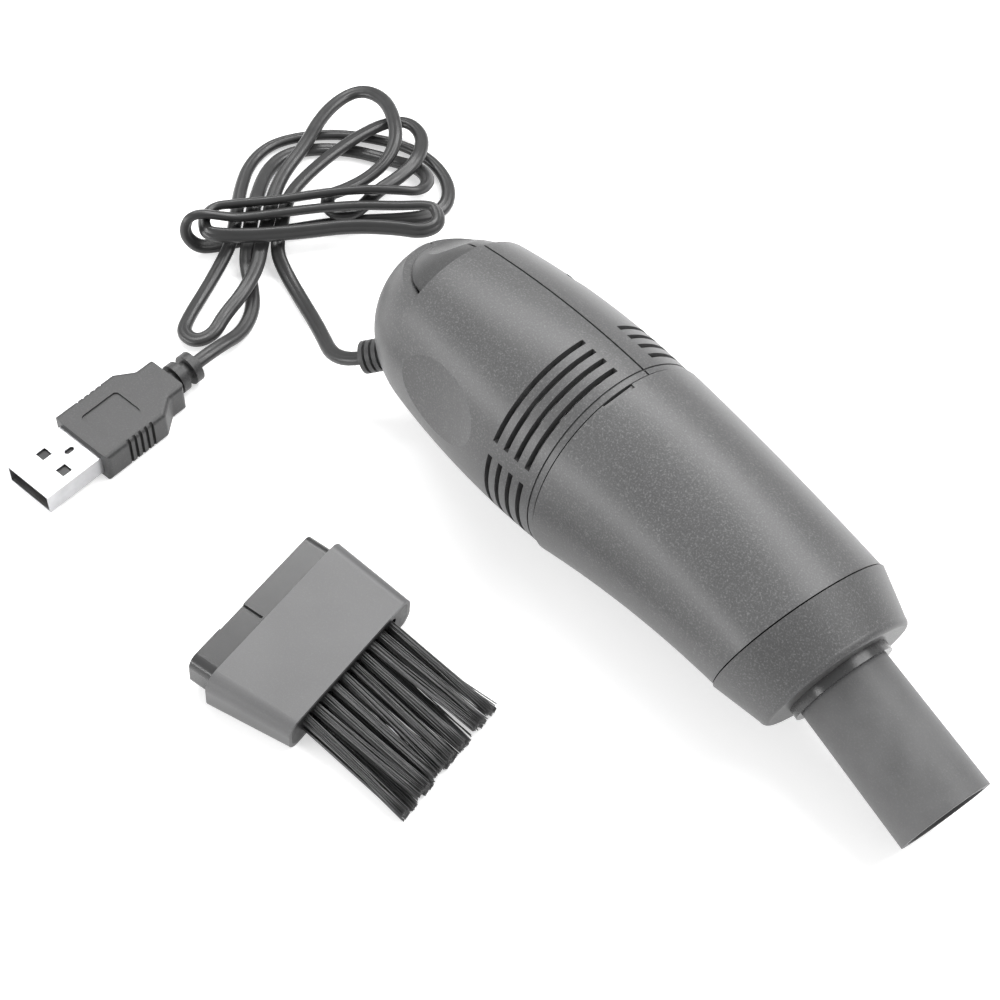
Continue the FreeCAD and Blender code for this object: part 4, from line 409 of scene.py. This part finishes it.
# each core's outline is drawn to this share of the way to the middle, which leaves a groove
CORE_REACH = 0.86
CORE_STEPS = 8
CURVE_STEPS = 8


def lead_profile():
    """Twin flat section: two round cores side by side with a shallow groove between them."""
    core = LEAD_THICKNESS / 2
    offset = LEAD_WIDTH / 2 - core
    meet = math.acos(offset * CORE_REACH / core)
    points = []
    for side in (1, -1):
        for step in range(CORE_STEPS + 1):
            angle = -math.pi + meet + 2 * (math.pi - meet) * step / CORE_STEPS
            points.append((side * (offset + core * math.cos(angle)), side * core * math.sin(angle)))
    curve = bpy.data.curves.new("lead_profile", "CURVE")
    curve.dimensions = "2D"
    spline = curve.splines.new("POLY")
    spline.points.add(len(points) - 1)
    for point, (x, y) in zip(spline.points, points):
        point.co = (x, y, 0.0, 1.0)
    spline.use_cyclic_u = True
    return add_object("lead_profile", curve)


def mesh_of(piece):
    """The mesh that a curve object makes."""
    return bpy.data.meshes.new_from_object(piece.evaluated_get(bpy.context.evaluated_depsgraph_get()))


def make_lead():
    """One smooth curve from the gland to the plug, drawn as a tube and turned into a mesh."""
    curve = bpy.data.curves.new("lead", "CURVE")
    curve.dimensions = "3D"
    curve.twist_mode = "MINIMUM"
    curve.resolution_u = CURVE_STEPS
    points = LEAD_START + ROUTE + LEAD_END
    spline = curve.splines.new("NURBS")
    spline.points.add(len(points) - 1)
    for point, place in zip(spline.points, points):
        point.co = (*(c * MM for c in place), 1.0)
    spline.order_u = 3
    spline.use_endpoint_u = True
    line = add_object("lead_line", curve)
    path = [tuple(vertex.co) for vertex in mesh_of(line).vertices]
    profile = lead_profile()
    curve.bevel_mode = "OBJECT"
    curve.bevel_object = profile
    curve.use_fill_caps = True
    tube = mesh_of(line)
    tube.polygons.foreach_set("use_smooth", [True] * len(tube.polygons))
    for spare in (line, profile):
        bpy.data.objects.remove(spare)
    lead = add_object("lead", tube)
    finish_piece(lead, "housing", cord_sheath("cord_sheath", 0.028))
    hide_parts("cord_lead", "cord_hank")


# Brush: bristles in two rows of tufts

TUFT_COUNT = 10
TUFT_ROWS = 2
TUFT_RADIUS = 1.1 * MM
TUFT_ROW_SPACING = 2.3 * MM
TUFT_HALF_SPAN = 12.6 * MM
TUFT_SUNK = 4.0 * MM
TUFT_LENGTH = 25.5 * MM
# the whole field of bristles is pressed to one side, as photographed
FIELD_LEAN = -4.0 * MM
# each tuft leans by up to this much at its tip
TUFT_LEAN_ACROSS = 1.5 * MM
TUFT_LEAN_UP = 0.3 * MM
BRISTLES_PER_TUFT = 54
BRISTLE_RADIUS = 0.14 * MM
BRISTLE_TAPER = 0.18
BRISTLE_SIDES = 5
BRISTLE_RINGS = 7
# spread of the single bristles' tips, and how much shorter they are
SPREAD_ACROSS = 0.42
SPREAD_UP = 0.2
SHORTER = 0.25
# leans and spreads grow with this power of the way along
BEND_POWER = 1.6
# tips draw together by these shares of the tuft
GATHER_ACROSS = 0.3
GATHER_UP = 0.1


def bristle(vertices, faces, line):
    """Adds one tapered bristle along a line of points."""
    first = len(vertices)
    for number, point in enumerate(line):
        radius = BRISTLE_RADIUS * (1 - BRISTLE_TAPER * number / (len(line) - 1))
        for side in range(BRISTLE_SIDES):
            angle = 2 * math.pi * side / BRISTLE_SIDES
            vertices.append(point + Vector((0, radius * math.cos(angle), radius * math.sin(angle))))
    for ring in range(len(line) - 1):
        for side in range(BRISTLE_SIDES):
            a = first + ring * BRISTLE_SIDES + side
            b = first + ring * BRISTLE_SIDES + (side + 1) % BRISTLE_SIDES
            faces.append((a, b, b + BRISTLE_SIDES, a + BRISTLE_SIDES))
    last = first + (len(line) - 1) * BRISTLE_SIDES
    faces.append(tuple(last + side for side in range(BRISTLE_SIDES)))
    faces.append(tuple(first + side for side in reversed(range(BRISTLE_SIDES))))


def make_bristles():
    chance = random.Random(11)
    vertices, faces = [], []
    root = SHOULDER_LENGTH - TUFT_SUNK
    for row in range(TUFT_ROWS):
        row_z = (row - (TUFT_ROWS - 1) / 2) * TUFT_ROW_SPACING
        for tuft in range(TUFT_COUNT):
            middle = -TUFT_HALF_SPAN + 2 * TUFT_HALF_SPAN * tuft / (TUFT_COUNT - 1)
            lean_y = chance.uniform(-TUFT_LEAN_ACROSS, TUFT_LEAN_ACROSS)
            lean_z = chance.uniform(-TUFT_LEAN_UP, TUFT_LEAN_UP)
            for _ in range(BRISTLES_PER_TUFT):
                angle = chance.uniform(0, 2 * math.pi)
                reach = (TUFT_RADIUS - BRISTLE_RADIUS) * math.sqrt(chance.random())
                y0 = reach * math.cos(angle)
                z0 = reach * math.sin(angle)
                spread = chance.gauss(0.0, SPREAD_ACROSS) * MM
                lift = chance.gauss(0.0, SPREAD_UP) * MM
                length = TUFT_LENGTH - abs(chance.gauss(0.0, SHORTER)) * MM
                line = []
                for ring in range(BRISTLE_RINGS):
                    share = ring / (BRISTLE_RINGS - 1)
                    bend = share ** BEND_POWER
                    line.append(Vector((
                        root + (TUFT_SUNK + length) * share,
                        middle + y0 * (1 - GATHER_ACROSS * bend) + (lean_y + spread) * bend
                        + FIELD_LEAN * share,
                        row_z + z0 * (1 - GATHER_UP * bend) + (lean_z + lift) * bend,
                    )))
                bristle(vertices, faces, line)
    place = brush_matrix()
    piece = mesh_object("bristles", [place @ v for v in vertices], faces)
    finish_piece(piece, "brush", bristle_nylon("bristle_nylon", 0.045))
    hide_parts("brush_tufts")


# Filter: a pleated cone of cloth on its frame

FILTER_BACK = 1.8 * MM
FILTER_DEPTH = 11.5 * MM
FILTER_BASE_RADIUS = 15.45 * MM
FILTER_FRONT_RADIUS = 9.0 * MM
FILTER_THICKNESS = 0.35 * MM
PLEATS = 18
PLEAT_DEPTH = 0.45 * MM
PLEAT_STEPS = 8
# the cone's rings, between these shares of the depth
CONE_RINGS = 7
CONE_START = 0.12
CONE_SPAN = 0.82
# rings behind and before the cone: share of the depth, radius, share of the pleats' depth
FILTER_FOOT = [(0.0, FILTER_BASE_RADIUS, 0.0), (CONE_START, 14.9 * MM, 0.4)]
FILTER_TOP = [(0.985, 7.6 * MM, 0.5), (0.995, 4.0 * MM, 0.1)]


def filter_rings():
    rings = list(FILTER_FOOT)
    for step in range(1, CONE_RINGS + 1):
        share = step / CONE_RINGS
        radius = FILTER_BASE_RADIUS + (FILTER_FRONT_RADIUS - FILTER_BASE_RADIUS) * share
        rings.append((CONE_START + CONE_SPAN * share, radius - PLEAT_DEPTH, 1.0))
    return rings + FILTER_TOP


def make_filter():
    around = PLEATS * PLEAT_STEPS
    rings = filter_rings()
    vertices, faces = [], []
    for share, radius, pleat in rings:
        for number in range(around):
            angle = 2 * math.pi * number / around
            reach = radius + PLEAT_DEPTH * pleat * math.cos(PLEATS * angle)
            x = FILTER_BACK + FILTER_DEPTH * share
            vertices.append(Vector((x, reach * math.cos(angle), reach * math.sin(angle))))
    for ring in range(len(rings) - 1):
        for number in range(around):
            a = ring * around + number
            b = ring * around + (number + 1) % around
            faces.append((a, b, b + around, a + around))
    centre = len(vertices)
    vertices.append(Vector((FILTER_BACK + FILTER_DEPTH * rings[-1][0], 0, 0)))
    last = (len(rings) - 1) * around
    for number in range(around):
        faces.append((last + number, last + (number + 1) % around, centre))
    piece = mesh_object("filter_bag", [TO_ROW @ v for v in vertices], faces)
    thick = piece.modifiers.new("thickness", "SOLIDIFY")
    thick.thickness = FILTER_THICKNESS
    finish_piece(piece, "filter", filter_felt("filter_felt"))
    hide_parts("filter_cloth")


make_lead()
make_bristles()
make_filter()


# Floor, lights and camera

FLOOR_HALF = 3.0
FLOOR_COLOUR = (0.8, 0.8, 0.8, 1)
FLOOR_GLOW = 0.5
WHITE = (1, 1, 1, 1)
WORLD_LIGHT = 0.6
BODY_MIDDLE = (0, 0.03, 0.02)
CAMERA_PLACE = Vector((159.48, -150.24, 332.25)) * MM
CAMERA_VIEW = Vector((-0.46011, 0.40424, -0.79050))
CAMERA_ROLL = math.radians(1.17)
CAMERA_LENS = 76.32
CAMERA_SENSOR = 36.0


def make_floor():
    """Pale desk that shows as white where no shadow falls."""
    signs = ((-1, -1), (1, -1), (1, 1), (-1, 1))
    corners = [Vector((x * FLOOR_HALF, y * FLOOR_HALF, 0)) for x, y in signs]
    floor = mesh_object("floor", corners, [(0, 1, 2, 3)], smooth=False)
    material = bpy.data.materials.new("floor_white")
    material.use_nodes = True
    tree = material.node_tree
    nodes = tree.nodes
    nodes.clear()
    diffuse = nodes.new("ShaderNodeBsdfDiffuse")
    diffuse.inputs["Color"].default_value = FLOOR_COLOUR
    # only the rays that show the floor see its glow, so it lights nothing
    rays = nodes.new("ShaderNodeLightPath").outputs
    seen = math_node(tree, "MAXIMUM", rays["Is Camera Ray"], rays["Is Glossy Ray"])
    seen = math_node(tree, "MAXIMUM", seen, rays["Is Transmission Ray"])
    glow = nodes.new("ShaderNodeEmission")
    glow.inputs["Color"].default_value = WHITE
    tree.links.new(math_node(tree, "MULTIPLY", seen, FLOOR_GLOW), glow.inputs["Strength"])
    both = nodes.new("ShaderNodeAddShader")
    tree.links.new(diffuse.outputs[0], both.inputs[0])
    tree.links.new(glow.outputs[0], both.inputs[1])
    output = nodes.new("ShaderNodeOutputMaterial")
    tree.links.new(both.outputs[0], output.inputs["Surface"])
    floor.data.materials.append(material)


def area_light(name, place, target, size, power, width=None):
    """A soft light: a disc, or a strip of the given width."""
    data = bpy.data.lights.new(name, "AREA")
    data.shape = "DISK" if width is None else "RECTANGLE"
    data.size = size
    if width is not None:
        data.size_y = width
    data.energy = power
    lamp = add_object(name, data)
    lamp.location = place
    lamp.rotation_euler = (Vector(target) - Vector(place)).to_track_quat("-Z", "Y").to_euler()


def make_lights():
    world = bpy.data.worlds.new("studio")
    world.use_nodes = True
    background = world.node_tree.nodes["Background"]
    background.inputs["Color"].default_value = WHITE
    background.inputs["Strength"].default_value = WORLD_LIGHT
    bpy.context.scene.world = world
    area_light("key", (0.15, 0.45, 0.75), (0, 0, 0), size=0.6, power=5.0)
    area_light("top_strip", (-0.37, 0.32, 0.63), BODY_MIDDLE, size=0.9, power=5.0, width=0.14)
    area_light("side_strip", (-0.37, -0.70, 0.25), BODY_MIDDLE, size=0.9, power=4.5, width=0.12)


def make_camera():
    data = bpy.data.cameras.new("camera")
    data.lens = CAMERA_LENS
    data.sensor_width = CAMERA_SENSOR
    data.clip_start = 0.01
    camera = add_object("camera", data)
    camera.location = CAMERA_PLACE
    turn = CAMERA_VIEW.to_track_quat("-Z", "Y") @ Quaternion((0, 0, 1), CAMERA_ROLL)
    camera.rotation_euler = turn.to_euler()
    bpy.context.scene.camera = camera


make_floor()
make_lights()
make_camera()
bpy.context.scene.view_settings.view_transform = "Standard"
